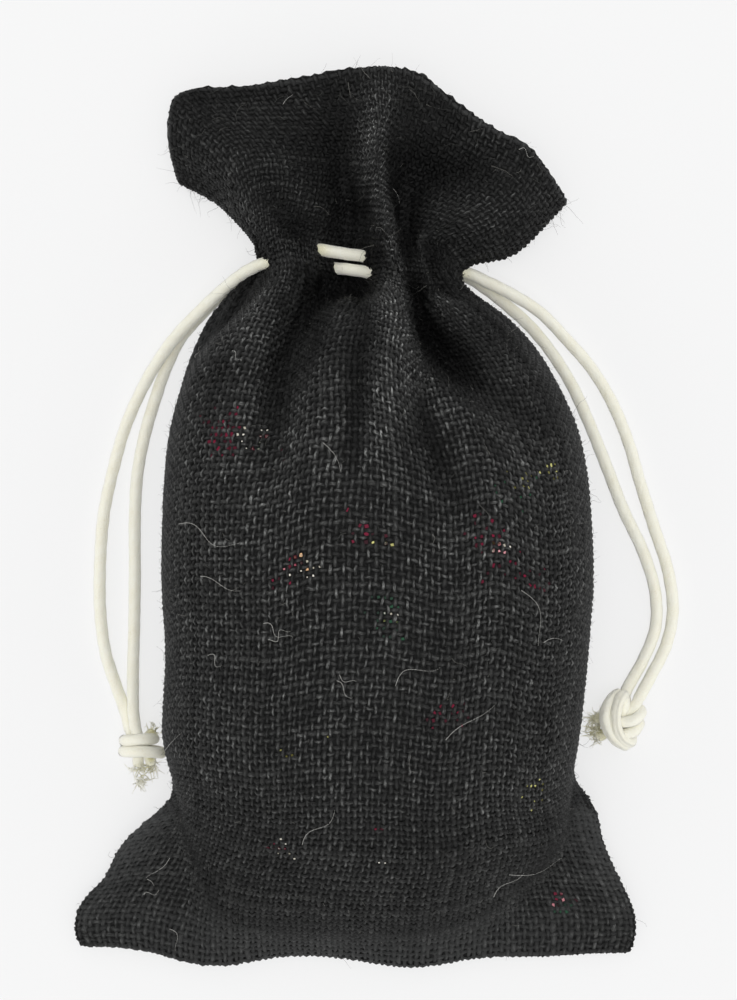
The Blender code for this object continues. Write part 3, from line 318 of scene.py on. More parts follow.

# Each knot as it is tied, in millimetres from its centre in plan, z from the surface. wraps
# are closed turns of cord, runs the strands going in, tails the ends coming out, frays the
# opened ends: place, heading, fibres, spread, shortest and longest. The stains, partly real
# staining of the frayed ends and partly painted shade in the gaps between the wraps and the
# tails: place, reach, strength.
KNOTS = {
    "knot_left": {
        "centre": (-61.2, -67.0, 0.0),
        "wraps": [
            [(-5.0, 1.7, 5.0), (-3.6, 2.0, 7.5), (-1.2, 2.3, 8.5), (1.2, 2.4, 8.0),
             (2.8, 2.3, 6.0), (2.6, 2.1, 3.4), (0.6, 1.7, 1.8), (-2.4, 1.5, 1.8),
             (-4.5, 1.5, 2.8)],
            [(-5.2, -1.2, 5.0), (-3.8, -1.1, 7.5), (-1.0, -0.9, 8.8), (1.8, -1.0, 8.4),
             (4.0, -1.4, 6.8), (5.0, -1.6, 4.4), (3.6, -1.5, 2.2), (0.6, -1.3, 1.8),
             (-2.8, -1.2, 1.8), (-4.8, -1.2, 2.9)],
        ],
        "runs": [
            [(-3.8, 4.9, 2.9), (-3.3, 3.4, 3.9), (-2.4, 1.6, 4.9), (-1.6, 0.0, 5.2)],
            [(-2.0, 5.6, 6.2), (-1.5, 3.9, 6.8), (-0.9, 2.0, 6.3), (-0.4, 0.4, 5.4)],
        ],
        "tails": [
            [(-1.2, -1.2, 4.4), (-1.4, -2.6, 4.0), (-1.5, -3.8, 3.4), (-1.5, -4.6, 3.0)],
            [(0.8, -1.2, 4.2), (1.4, -2.6, 3.6), (1.8, -3.6, 3.1), (2.0, -4.3, 2.8)],
            [(0.6, 1.4, 4.6), (1.6, 2.8, 4.9), (2.4, 3.6, 4.5)],
        ],
        "frays": [
            ((-1.5, -4.9, 2.9), (-0.1, -1.0, -0.1), 44, 0.4, (1.8, 4.2)),
            ((2.0, -4.6, 2.7), (0.15, -1.0, -0.1), 40, 0.4, (1.8, 4.4)),
            ((-0.5, -9.2, 1.6), (-0.1, -1.0, 0.0), 36, 0.5, (1.4, 4.0)),
            ((2.6, 3.8, 4.6), (0.4, 0.9, 0.1), 40, 0.6, (1.0, 2.4)),
        ],
        "stains_and_shade": [
            ((5.0, -1.4, 6.0), 1.3, 1.0), ((2.2, -3.1, 4.6), 1.2, 0.9),
            ((3.2, 4.4, 5.2), 2.4, 0.8), ((0.6, -6.8, 2.6), 2.6, 0.75),
            ((-0.6, -11.6, 1.4), 2.2, 0.2),
        ],
    },
    "knot_right": {
        "centre": (68.4, -60.2, 0.0),
        "wraps": [
            [(-0.6, 7.4, 4.2), (-2.7, 6.1, 6.8), (-4.2, 3.5, 8.3), (-4.5, 0.6, 8.9),
             (-3.5, -2.1, 8.7), (-1.7, -4.4, 7.9), (0.6, -6.0, 6.0), (1.7, -6.2, 3.8),
             (1.2, -4.8, 2.0), (-0.6, -2.4, 1.8), (-2.3, 1.0, 1.8), (-2.0, 5.0, 2.3)],
            [(1.0, 7.0, 5.0), (-0.3, 6.5, 7.6), (-1.4, 4.2, 8.9), (-1.8, 1.3, 9.3),
             (-1.4, -1.7, 9.1), (-0.1, -4.1, 8.1), (1.9, -5.4, 6.2), (3.1, -5.2, 4.0),
             (3.0, -3.0, 2.1), (2.0, 0.5, 1.8), (1.6, 4.4, 2.3)],
            [(-0.8, 0.3, 6.6), (1.4, 0.2, 8.0), (3.6, 0.9, 8.1), (5.2, 2.2, 6.6), (5.5, 3.0, 4.4),
             (4.6, 3.2, 2.4), (2.0, 2.4, 1.9), (-0.4, 1.2, 3.2)],
            [(-0.6, -3.0, 5.8), (1.4, -3.1, 7.2), (3.4, -2.4, 7.1), (4.8, -1.0, 5.4),
             (5.1, -0.2, 3.4), (4.0, 0.1, 2.0), (1.2, -0.6, 1.9), (-0.6, -2.0, 3.2)],
        ],
        "runs": [
            [(0.8, 6.9, 4.5), (1.1, 5.2, 6.1), (0.7, 3.4, 6.6), (0.4, 2.0, 5.6)],
            [(5.2, 6.9, 4.5), (4.2, 5.0, 5.9), (2.8, 3.2, 6.2), (1.6, 1.9, 5.4)],
        ],
        "tails": [
            [(-1.6, -1.6, 4.2), (-3.4, -2.8, 4.0), (-4.8, -3.6, 3.7), (-5.6, -4.0, 3.4)],
            [(-2.4, 1.2, 4.2), (-4.0, 1.2, 4.0), (-5.2, 1.0, 3.6), (-6.0, 0.8, 3.4)],
        ],
        "frays": [
            ((-5.9, -4.1, 3.4), (-1.0, 0.1, -0.05), 46, 0.5, (2.0, 5.0)),
            ((-6.2, 0.8, 3.4), (-1.0, 0.0, -0.05), 46, 0.55, (1.8, 4.8)),
            ((-6.0, -1.8, 3.2), (-1.0, 0.0, 0.1), 34, 0.6, (1.8, 4.6)),
        ],
        "stains_and_shade": [
            ((-5.2, -2.4, 4.2), 1.6, 1.0), ((-4.6, -4.8, 5.0), 1.4, 0.6),
            ((-6.4, 0.8, 3.6), 2.0, 0.6), ((-8.4, -2.0, 3.0), 3.2, 0.65),
        ],
    },
}

# --- what lies on the cloth and shows through it ---

FUZZ = (  # name, number, lowest on the cloth, lengths, radii, leans outward, steps, wildness
    ("fuzz_short", 6500, 2.0, (0.5, 1.7), (0.035, 0.06), (0.3, 2.0), 3, 0.5),
    ("fuzz_long", 900, 2.0, (2.0, 7.0), (0.035, 0.055), (0.15, 1.2), 7, 0.9),
    ("fuzz_ruffle", 380, -12.0, (2.5, 8.0), (0.035, 0.055), (0.2, 1.5), 7, 0.9),
)
FUZZ_ROOTS = (0.1, 0.55)  # above the middle of the weave
FUZZ_LOWEST = 0.1

LINT_COLOUR = (0.74, 0.73, 0.69)
LINT_STEPS = 26
LINT_RADIUS = 0.05
LINT_LIFT = (0.95, 0.3)  # above the core: on the cloth, and on the floor
LINT_LOOSE = 0.5
# Hairs as the camera sees them on the base plane: x and y of both ends, half waves, swing
# to the side, phase.
LINT = (
    (-51.0, -6.6, -34.5, -13.1, 2.2, 1.8, 0.3), (-45.2, -20.8, -34.2, -23.8, 1.4, 1.3, 1.1),
    (-28.3, -33.6, -20.9, -38.3, 2.6, 1.1, 0.2), (-27.0, -38.0, -21.6, -34.8, 3.0, 1.0, 2.0),
    (-43.3, -42.4, -39.4, -45.1, 2.0, 1.2, 0.0), (7.3, -50.6, 18.2, -43.8, 1.6, 2.2, 0.0),
    (-8.6, -49.2, -4.3, -53.9, 1.8, 0.8, 0.5), (-7.9, -47.6, -3.6, -50.0, 2.0, 0.7, 2.2),
    (41.2, -24.6, 47.6, -38.9, 1.3, 2.4, 0.0), (47.2, -38.8, 52.4, -38.3, 1.0, 0.9, 0.0),
    (20.9, -65.4, 33.8, -55.2, 1.6, 0.8, 0.4), (-17.9, -93.5, -9.0, -84.2, 2.0, 1.2, 0.1),
    (33.8, -107.7, 41.3, -100.6, 1.6, 1.0, 0.3), (38.0, -101.7, 52.4, -98.0, 1.3, 1.3, 2.8),
    (-54.3, -97.6, -60.4, -103.4, 1.3, 0.6, 0.3), (-60.4, -103.4, -58.6, -105.2, 1.0, 0.4, 0.0),
    (-61.3, -107.6, -57.2, -106.6, 2.0, 0.7, 0.4), (-54.3, -117.0, -51.5, -122.5, 1.4, 1.3, 0.0),
    (-55.4, -69.2, -50.2, -63.4, 1.0, 0.3, 0.0), (-23.4, 107.9, -20.4, 110.8, 1.0, 0.3, 0.0),
    (41.0, 95.6, 44.9, 93.9, 2.0, 0.9, 0.0), (5.8, 85.0, 7.6, 81.0, 1.0, 0.4, 0.0),
    (-46.6, 38.4, -45.4, 41.4, 3.0, 0.4, 0.0), (-12.3, 15.4, -7.7, 7.6, 1.0, 0.8, 0.0),
    (-36.8, 40.4, -34.6, 37.4, 2.4, 0.5, 0.0),
)
# The filling by colour: a dull colour, painted shade of a bit deep in a hole, and a vivid one,
# painted light of a bit close to the light, then where it shows, as x and y that the camera
# sees, reach in x and y, number, size. The white and amber bits are painted sparkles of light
# on the filling, and the white bits in the ruffle painted light showing through pinholes.
GLINTS = {
    "amber": (
        (0.42, 0.14, 0.03), (0.90, 0.58, 0.33),
        (-18.6, -16.0, 1.0, 0.8, 2, 0.8), (-16.4, -19.0, 1.6, 0.8, 2, 0.7),
    ),
    "gold": (
        (0.10, 0.09, 0.02), (0.62, 0.60, 0.22),
        (3.0, -12.2, 2.4, 1.0, 3, 0.8), (6.6, -32.2, 2.4, 2.2, 3, 0.7),
        (35.0, -12.2, 2.6, 2.4, 5, 0.85), (43.0, 5.2, 5.6, 3.4, 12, 0.8),
        (49.8, 7.4, 1.6, 3.0, 7, 0.85), (-22.8, -68.4, 1.8, 1.6, 5, 0.8),
        (-11.9, -65.0, 1.0, 1.0, 2, 0.7), (45.4, -79.8, 4.0, 6.0, 12, 0.75),
    ),
    "green": (
        (0.010, 0.026, 0.017), (0.016, 0.075, 0.036),
        (-33.0, 14.0, 7.0, 3.0, 6, 0.8), (5.4, -32.0, 5.0, 5.6, 26, 0.85),
        (41.2, 2.4, 7.0, 4.0, 10, 0.8), (52.8, -111.8, 3.4, 1.8, 12, 1.1),
    ),
    "red": (
        (0.030, 0.003, 0.008), (0.19, 0.006, 0.032),
        (-39.8, 19.2, 5.4, 6.2, 46, 1.4), (-33.0, 15.0, 12.0, 7.0, 12, 0.95),
        (-19.6, -17.8, 4.6, 2.8, 8, 1.0), (-24.0, -22.0, 4.0, 3.0, 4, 0.9),
        (0.8, -8.6, 6.4, 3.6, 15, 1.05), (32.2, -11.0, 4.6, 7.0, 18, 1.1),
        (45.6, -22.0, 4.4, 3.6, 7, 1.05), (39.0, -17.6, 8.6, 6.0, 12, 0.9),
        (17.6, -59.8, 3.4, 2.0, 9, 1.0), (24.4, -57.4, 4.6, 4.6, 10, 0.95),
        (53.4, -109.6, 3.0, 1.2, 9, 1.1), (2.6, -89.4, 1.0, 0.8, 4, 1.0),
        (-23.6, -94.2, 3.6, 2.2, 5, 0.9),
    ),
    "rose": (
        (0.30, 0.06, 0.09), (0.85, 0.42, 0.45),
        (-19.6, -18.6, 2.6, 1.0, 3, 0.7), (35.6, -13.4, 2.2, 2.0, 4, 0.8),
        (53.2, -109.5, 2.2, 0.8, 6, 1.0),
    ),
    "white": (
        (0.45, 0.42, 0.34), (0.9, 0.87, 0.78),
        (-34.2, 18.6, 1.6, 0.8, 6, 0.7), (-28.6, 17.8, 2.0, 1.6, 6, 0.5),
        (-31.6, 14.6, 2.6, 1.6, 6, 0.5), (-17.4, -16.8, 2.6, 1.4, 5, 0.6),
        (-16.0, -20.6, 3.6, 2.4, 7, 0.5), (4.6, -11.4, 1.6, 1.4, 3, 0.6),
        (6.2, -31.0, 2.4, 1.4, 4, 0.55), (35.4, -12.2, 2.4, 2.2, 3, 0.8),
        (-23.5, -94.6, 4.2, 2.4, 9, 0.6), (3.7, -99.2, 0.8, 0.8, 2, 0.6),
        (-9.7, 92.8, 0.4, 0.6, 2, 0.5), (19.0, 90.1, 0.5, 0.5, 1, 0.5),
        (25.6, 91.2, 0.5, 0.5, 1, 0.5),
    ),
}
GLINT_SCATTER = 0.5  # of the reach
GLINT_SIZE = 1.35
GLINTS_DIFFER = (0.55, 1.1)  # in size
GLINT_RAGGED = 0.3
GLINT_RISE = 0.05  # above the middle of the weave
GLINT_SIDE = (math.cos(0.2), math.sin(0.2), 0.3)  # how the bits are turned

CAMERA_HEIGHT = 700.0
PICTURE_TALL = 273.4  # what the camera's frame covers of the base plane, up its long side
FRAME_SENSOR = 36.0

# --- curves ---

ROUTE_FINE = 24  # a curve is worked out this finely between two points of its route
TURN_FINE = 12


def monotone(knots, values, at):
    """A smooth curve through values at knots that never overshoots them, read at `at`.
    The values may be vectors. This is the Fritsch-Carlson cubic."""
    knots = np.asarray(knots, float)
    values = np.asarray(values, float)
    if values.ndim == 1:
        return monotone(knots, values[:, None], at)[..., 0]
    step = np.diff(knots)
    step = step.reshape((-1,) + (1,) * (values.ndim - 1))
    slope = np.diff(values, axis=0) / step
    before, after = slope[:-1], slope[1:]
    short, long = step[:-1] + 2 * step[1:], 2 * step[:-1] + step[1:]
    with np.errstate(divide="ignore", invalid="ignore"):
        mean = (short + long) / (long / before + short / after)
    inner = np.where(before * after > 0, mean, 0.0)
    tangent = np.concatenate([slope[:1], inner, slope[-1:]])
    span = np.clip(np.searchsorted(knots, at, side="right") - 1, 0, len(knots) - 2)
    width = step[span]
    shape = np.shape(at) + (1,) * (values.ndim - 1)
    t = (np.asarray(at) - knots[span]).reshape(shape) / width
    return (
        values[span] * (1 + 2 * t) * (1 - t) ** 2
        + tangent[span] * width * t * (1 - t) ** 2
        + values[span + 1] * t * t * (3 - 2 * t)
        + tangent[span + 1] * width * t * t * (t - 1)
    )


def around_loop(knots, values, at):
    """monotone() on a closed loop whose `around` runs 0 to 2."""
    knots = np.asarray(knots, float)
    values = np.asarray(values, float)
    wide = np.concatenate([knots[-2:] - 2, knots, knots[:3] + 2])
    return monotone(wide, np.concatenate([values[-2:], values, values[:3]]), at)


def run_of(points):
    """The length run along a line of points, at each of them."""
    return np.concatenate([[0], np.cumsum(np.linalg.norm(np.diff(points, axis=0), axis=1))])


def evenly(points, count):
    """`count` points evenly spaced by length along an open line of points, ends kept."""
    run = run_of(points)
    at = np.linspace(0, run[-1], count)
    return np.stack([np.interp(at, run, points[:, k]) for k in range(3)], axis=1)


def smooth_route(points, step):
    """Points `step` apart on a centripetal Catmull-Rom curve through the route's own points."""
    route = [Vector(p) for p in points]
    route = [2 * route[0] - route[1], *route, 2 * route[-1] - route[-2]]
    dense = []
    for a, b, c, d in zip(route, route[1:], route[2:], route[3:]):
        t1 = math.sqrt((b - a).length)
        t2 = t1 + math.sqrt((c - b).length)
        t3 = t2 + math.sqrt((d - c).length)
        for i in range(ROUTE_FINE):
            t = t1 + (t2 - t1) * i / ROUTE_FINE
            over = (t - t1) / (t2 - t1)
            ab, bc, cd = a.lerp(b, t / t1), b.lerp(c, over), c.lerp(d, (t - t2) / (t3 - t2))
            dense.append(ab.lerp(bc, t / t2).lerp(bc.lerp(cd, (t - t1) / (t3 - t1)), over))
    dense = np.array([*map(tuple, dense), tuple(route[-2])])
    return evenly(dense, max(4, round(run_of(dense)[-1] / step)) + 1)


# --- the sack's surface ---


def side_by_side(count):
    """`around` of `count` columns, the same on the front as below it, a column on each seam."""
    return np.arange(count) * 2 / count


def body_loop(section, around):
    """One closed cross section of the filled body, evenly spaced over the front and below."""
    s = dict(zip(BODY_COLUMNS, section))
    angle = np.linspace(0, math.pi, LOOP_FINE)
    across = -np.cos(angle)
    x = (s["left"] + s["right"]) / 2 + across * (s["right"] - s["left"]) / 2
    edge = np.sin(angle) ** EAR_EDGE
    middle = (s["dome_left"] + s["dome_right"]) / 2
    reach = (s["dome_right"] - s["dome_left"]) / 2
    share = np.clip(np.abs(x - middle) / reach, 0, 1)
    dome = (1 - share ** s["blunt"]) ** s["steep"]
    top = s["side"] + s["puff"] * edge + (s["crown"] - s["side"] - s["puff"]) * dome
    below = s["side"] - EAR_BELOW * s["puff"] * edge - UNDER_DROP * s["side"] * dome
    y = np.full(LOOP_FINE, s["y"])
    half = len(around) // 2
    front = evenly(np.stack([x, y, top], 1), half + 1)
    back = evenly(np.stack([x, y, np.maximum(below, 0)], 1)[::-1], half + 1)
    return np.concatenate([front[:-1], back[:-1]])


def seam_loop(around):
    """The bottom seam: the two layers lie flat together along a wavy line."""
    share = np.where(around <= 1, around, 2 - around)
    x = SEAM_LEFT[0] + share * (SEAM_RIGHT[0] - SEAM_LEFT[0])
    y = SEAM_LEFT[1] + share * (SEAM_RIGHT[1] - SEAM_LEFT[1])
    z = np.full(len(around), SEAM_HEIGHT)
    for middle, half_width, reach, rise in SEAM_WAVES:
        wave = np.exp(-(((x - middle) / half_width) ** 2))
        y -= reach * wave
        z += rise * wave
    z += np.where(around <= 1, SEAM_HALF_THICKNESS, -SEAM_HALF_THICKNESS)
    return np.stack([x, y, z], 1)


def pleat(name):
    """One column of the pleats' table, in the order of the lines around the cloth."""
    return np.array([row[PLEAT_COLUMNS.index(name)] for row in PLEATS.values()], float)


def neck_points(line):
    """Where the pleats' lines cross one edge of the gathered neck."""
    y, slope, wider_left, wider_right = line
    x = pleat("neck_x")
    x = x * np.where(x < 0, wider_left, wider_right)
    return np.stack([x, y + slope * x, pleat("neck_z")], 1)


def pleated_shoulder(section, around):
    """A body section near the neck, with each pleat's own share of its depth still in it."""
    loop = body_loop(section, around)
    s = dict(zip(BODY_COLUMNS, section))
    lines = pleat("around")
    gathered = neck_points(NECK_LINES[0])
    neck = dict(s, side=gathered[0, 2], crown=NECK_CROWN)
    neck["left"] = neck["dome_left"] = gathered[:, 0].min()
    neck["right"] = neck["dome_right"] = gathered[:, 0].max()
    plain = body_loop([neck[c] for c in BODY_COLUMNS], around)
    marks = np.round(lines * len(around) / 2).astype(int) % len(around)
    push = gathered - plain[marks]
    push[:, 1] = 0
    share = np.clip((NECK_Y - s["y"]) / pleat("fade"), 0, 1)
    push *= ((1 - share) ** PLEAT_FADE)[:, None]
    loop = loop + around_loop(lines, push, around)
    loop[:, 2] = np.maximum(loop[:, 2], 0)
    return loop


def fold_push(x, y, rows):
    """How far a fold presses down the cloth that lies over x and y."""
    rows = np.array(rows)
    nearest = np.full(x.shape, np.inf)
    push = np.zeros(x.shape)
    for start, end in zip(rows, rows[1:]):
        way = end[:2] - start[:2]
        near = ((x - start[0]) * way[0] + (y - start[1]) * way[1]) / way.dot(way)
        near = np.clip(near, 0, 1)
        at = dict(zip(FOLD_COLUMNS, (a + near * (b - a) for a, b in zip(start, end))))
        off_x, off_y = x - at["x"], y - at["y"]
        width = np.where(way[0] * off_y > way[1] * off_x, at["left"], at["right"])
        apart = np.hypot(off_x, off_y)
        push = np.where(apart < nearest, at["depth"] * np.exp(-((apart / width) ** 2)), push)
        nearest = np.minimum(nearest, apart)
    return push


def add_folds(grid, front):
    """Presses the folds into the front of the grid, and the filling's lumps out of it."""
    x, y = grid[..., 0], grid[..., 1]
    push = np.zeros(x.shape)
    for rows in FOLDS.values():
        push -= fold_push(x, y, rows)
    for lump_x, lump_y, radius, height in LUMPS:
        push += height * np.exp(-((x - lump_x) ** 2 + (y - lump_y) ** 2) / radius**2)
    folded = grid.copy()
    left_seam, right_seam = (grid[:, i : i + 1, 2] for i in (0, grid.shape[1] // 2))
    across = np.linspace(0, 2, grid.shape[1])
    lowest = left_seam + across * (right_seam - left_seam) + FOLD_CLEARANCE
    lowest = np.minimum(grid[..., 2], lowest)
    folded[..., 2] = np.maximum(grid[..., 2] + push * front, lowest)
    return folded


def soften(grid, times):
    """Rounds the grid as the stiffness of cloth does. The bottom seam and the hem stay."""
    for _ in range(times):
        grid = (np.roll(grid, 1, 1) + 2 * grid + np.roll(grid, -1, 1)) / 4
        inside = (grid[:-2] + 2 * grid[1:-1] + grid[2:]) / 4
        grid = np.concatenate([grid[:1], inside, grid[-1:]])
    return grid


def even_grid(grid):
    """The same surface with its lines evenly spaced, as the yarns of the cloth are."""
    rows, columns = grid.shape[:2]
    half = columns // 2
    for _ in range(2):
        grid = np.stack([evenly(grid[:, i], rows) for i in range(columns)], axis=1)
        closed = np.concatenate([grid, grid[:, :1]], axis=1)
        layers = [
            np.stack([evenly(row[first : first + half + 1], half + 1)[:-1] for row in closed])
            for first in (0, half)
        ]
        grid = np.concatenate(layers, axis=1)
    return grid


def sack_surface():
    """The outside of the cloth as a grid: row 0 is the bottom seam, the last row the hem."""
    around = side_by_side(AROUND_FINE)
    shoulder_y = NECK_Y - pleat("fade").max()
    loops = [seam_loop(around)]
    for section in BODY_SECTIONS:
        pleated = section[0] > shoulder_y
        loops.append((pleated_shoulder if pleated else body_loop)(section, around))
    loops += [around_loop(pleat("around"), neck_points(line), around) for line in NECK_LINES]
    for place in ("mid", "hem"):
        points = np.stack([pleat(f"{place}_{axis}") for axis in "xyz"], 1)
        loops.append(around_loop(pleat("around"), points, around))
    loops = np.stack(loops)
    gaps = np.linalg.norm(np.diff(loops, axis=0), axis=2).mean(axis=1)
    run = np.concatenate([[0], np.cumsum(gaps)])
    grid = monotone(run, loops, np.linspace(0, run[-1], ROWS_FINE))
    front = np.sin(np.pi * np.clip(around, 0, 1)) ** SIDE_FADE
    front = np.where(around <= 1, front, 0.0)
    above_seam = np.clip((grid[..., 1] + SEAM_Y) / SEAM_FADE, 0, 1)
    grid = add_folds(grid, front[None, :] * above_seam)
    grid = soften(even_grid(grid), SOFTEN_TIMES)
    grid[..., 2] = np.maximum(grid[..., 2] - FLAT_PRESS, 0)
    return grid


def read_grid(grid, along, around):
    """Points of the grid at cloth coordinates: along 0 to 1, around 0 to 2."""
    rows, columns = grid.shape[:2]
    row = np.clip(np.asarray(along) * (rows - 1), 0, rows - 1)
    column = np.asarray(around) * columns / 2
    low = np.minimum(row.astype(int), rows - 2)
    left = np.floor(column).astype(int)
    up, over = (row - low)[..., None], (column - left)[..., None]
    right = (left + 1) % columns
    left = left % columns
    lower = grid[low, left] * (1 - over) + grid[low, right] * over
    upper = grid[low + 1, left] * (1 - over) + grid[low + 1, right] * over
    return lower * (1 - up) + upper * up


# --- the weave ---

ENDS = 98  # warp yarns across each of the two layers
PICKS = 151  # weft yarns from the bottom seam to the hem, or this far past it
PICKS_PAST = 0.5
BODY_DEPTH = 0.42  # how far the middle of the weave lies inside the solid's surface
RUFFLE_DEPTH = 0.85
DEEPER_FROM = 14  # where it changes: this far below the neck, and over this length
DEEPER_OVER = 20
HEM_ROUND = 0.6
HEM_TURN = 7.0  # cloth turned in at the hem
YARN_RISE = 0.42  # how far a yarn rises where it passes over another
YARN_THICK = 0.70
YARN_FILL = 0.76  # the yarn's width as a share of the weave's pitch
WIDEST = 1.25
NARROWEST = 0.5
THIN_YARN = 0.55  # the thinnest yarn's share of the thickness, and how wide a full yarn is
WIDE_YARN = 1.3
FULLEST = 1.2
YARNS_DIFFER = 0.13  # in width, from one yarn to the next
SLUB = (0.18, 7, 0.06)  # thicker places: slow changes, over how many crossings, quick changes
SHAKE = (0.17, 3, 0.07)  # the same for its course, in shares of the pitch
LIFT_JUMPS = 0.05
YARN_TILT = 0.25
CREST_WIDER = 0.10  # a yarn is wider where it passes over another
CREST_FROM = 0.1  # how high on its section a yarn's painted highlight starts, and how far it ends before the sides
CREST_SIDES = -2.2
TONES_DIFFER = 0.5  # from yarn to yarn, then along each one
TONE_LEAST = 0.25
TONE_WANDERS = 0.25
TONE_EVERY = 9
YARNS_APART = 90  # so that no two yarns share their fibres
# Waves in the yarns' courses: size, length up the cloth over 2 pi, turn from side to side, phase
# on the front, and how much more it is on the back. The warp drifts, and the weft sways.
DRIFT = ((0.6, 31, 4.3, 0.0, 2.0), (0.3, 17, -7.1, 1.3, 0.0))
SWAY = ((0.7, 43, 9.4, 0.0, 2.0), (0.3, -29, 17.3, 0.6, 0.0))
DRIFT_ENDS = 1.55  # a drift of 1 moves the warp by its pitch over this
COURSE_EDGE = 0.7  # the yarns' courses are held at the side seams, the bottom seam and the
COURSE_FADE = 10  # hem, and these set how fast they are freed beside them
SIDE_DIVE = 0.55  # how far the weft dives into each side seam
TUBES_FROM = 6  # from here below the neck and up, the yarns are closed tubes
# Half sections of a yarn, across and up, for the front and the back, and the closed one.
ROOF = ((-0.5, -0.34), (-0.17, 0.38), (0.17, 0.38), (0.5, -0.34))
FLAT_ROOF = ((-0.5, -0.3), (0.0, 0.46), (0.5, -0.3))
ROUND = ((-0.5, 0.0), (0.0, 0.48), (0.5, 0.0), (0.0, -0.48))
LOWEST = 0.03  # the underside rests this far above the surface

# Painted shade: the cloth is painted darker deep in its folds and less on the bottom corners, and
# patches add painted shade or painted light.
SHADE_REACH = 36  # steps of the grid's blur that a fold is compared with
SHADE_DEPTH = 0.9
SHADE_EVEN = 0.2  # how far below the cloth around it a spot lies that is half in painted shade
SHADE_MOST = 0.94
SHADE_LIMITS = (-0.5, 0.97)  # below 0 it is painted paler, as painted light
SHADE_ROWS = 9  # it fades in over one part in so many of the cloth's length above the seam
WARP_HIGHLIGHT = 1.0  # how strong the painted highlights on the tops of the yarns are
WEFT_HIGHLIGHT = 0.62
HIGHLIGHT_FROM = 4.0  # the painted highlights are stronger the higher the cloth lies
HIGHLIGHT_OVER = 36.0
HIGHLIGHT_LEAST = 0.3
HIGHLIGHT_OPEN = 1.5  # they fall off this steeply in the painted shade of the folds
HIGHLIGHT_LOW = 0.6  # and are weaker towards the bottom seam
HIGHLIGHT_LOW_END = 75  # from this far below the middle, and over this length
HIGHLIGHT_LOW_OVER = 50
STROKE_LEAST = 0.28  # how strong each float's painted highlight is at least, and how few floats get a stronger one
STROKES_FEW = 2.5
STROKE_TAIL = 0.3  # of its painted highlight, a yarn keeps this much beside a crossing
EARS_Z = 16.0  # painted light: the flat bottom corners are painted paler, for the light of the open sheet beside them
EARS_Y = -76.0
EARS_FADE_Z = 6.0
EARS_FADE_Y = 10.0
EARS_PAINTED_LIGHT = 4.0

EVEN_REACH = 70  # how widely the yarns' courses are evened out, and by how much
EVEN_SHARE = 0.8
WEFT_MOVED = (0.09, 1.2)  # where the surface is steep they move less, and never further
WARP_MOVED = (1600, 0.008)

GATHER_DEPTH = 0.55  # small pleats around the neck, between the main ones
GATHER_BELOW = 26.0  # how far they fan out below it and above it
GATHER_ABOVE = 17.0
GATHER_FADE = 1.6
GATHER_WAVES = ((0.6, 36, 0.7), (0.45, 29, 2.1), (0.35, 47, 4.0))  # size, number, phase
NECK_MIDDLE = NECK_Y + 2.5  # where the gathers are tightest, and how that line slopes
NECK_SLOPE = 0.11

SIDE_SHEEN = 0.08  # share of the cloth's width beside each side fold that is painted a smooth paler grey, a painted sheen
SIDE_SHEEN_STRENGTH = (0.9, 0.72)  # how strong the painted sheen is there, on the left and on the right
SIDE_SHEEN_TOP = 20  # it fades out over these lengths towards the neck and the bottom seam
SIDE_SHEEN_FOOT = 40
FOOT_SHEEN = 16.0  # and above the bottom seam
FOOT_SHEEN_STRENGTH = 0.42
SHEEN_FLATTER = 0.6  # the yarns lie flatter there
HEM_SHEEN = 1.5  # the folded hem of the mouth gets the painted sheen too
HEM_SHEEN_STRENGTH = 0.5
TONES = (  # x, y, reach in x and y, then how much painted shade the patch adds; minus paints it paler, as painted light
    (28.0, 40.0, 13.0, 11.0, 0.40), (40.0, 23.0, 12.0, 9.0, 0.28), (13.0, 18.0, 3.6, 6.5, 0.20),
    (17.5, 8.5, 3.6, 6.5, 0.20), (22.0, -1.5, 3.6, 6.5, 0.20), (-16.0, 44.0, 9.0, 8.0, 0.16),
    (-9.0, 42.0, 5.5, 12.0, 0.28), (-34.5, 30.0, 8.0, 14.0, 0.18), (-34.0, 76.0, 7.0, 6.0, -0.35),
    (-44.0, 88.0, 8.0, 6.0, -0.25), (-54.0, 100.0, 5.0, 10.0, -0.30),
    (-2.0, 104.0, 5.0, 15.0, -0.40), (50.0, 82.0, 10.0, 8.0, -0.25), (5.0, 30.0, 4.0, 15.0, 0.07),
)
SWELLS = (  # x, y, reach, then how far the thin cloth lies away from the solid: x, y, z
    (-46.0, 111.0, 5.5, 0.0, 1.5, 0.0), (-39.0, 113.0, 5.0, 0.0, 0.6, 0.0),
    (27.0, 57.5, 4.6, 2.4, 0.3, 0.0), (-36.5, 58.5, 4.2, -2.0, 0.4, 0.0),
    (-30.5, 60.5, 3.0, -1.0, 1.4, 0.0), (-29.5, 65.0, 2.8, -1.8, 0.0, 0.0),
    (25.6, 61.0, 2.4, 0.4, -1.6, 0.0), (-73.0, -102.5, 5.5, 1.5, -0.5, 0.0),
    (-9.6, 61.6, 2.3, 0.0, 0.0, 2.2), (-13.6, 66.0, 2.2, 0.0, 0.0, 1.8),
    (0.6, 60.2, 2.0, 0.0, 0.0, -1.6), (-0.8, 65.0, 1.8, 0.0, 0.0, 1.4),
)

CORE_DEPTH = 0.80  # the dark inner face of the weave
CORE_WALL = 0.25
CORE_ROWS = 130
CORE_AROUND = 220
CORE_ROUND = 0.15
CORE_TOP = 0.3
MOUTH_REACH = 36.0  # how far the opening reaches in from the hem
MOUTH_ROWS = 22


# --- the cloth's surface ---


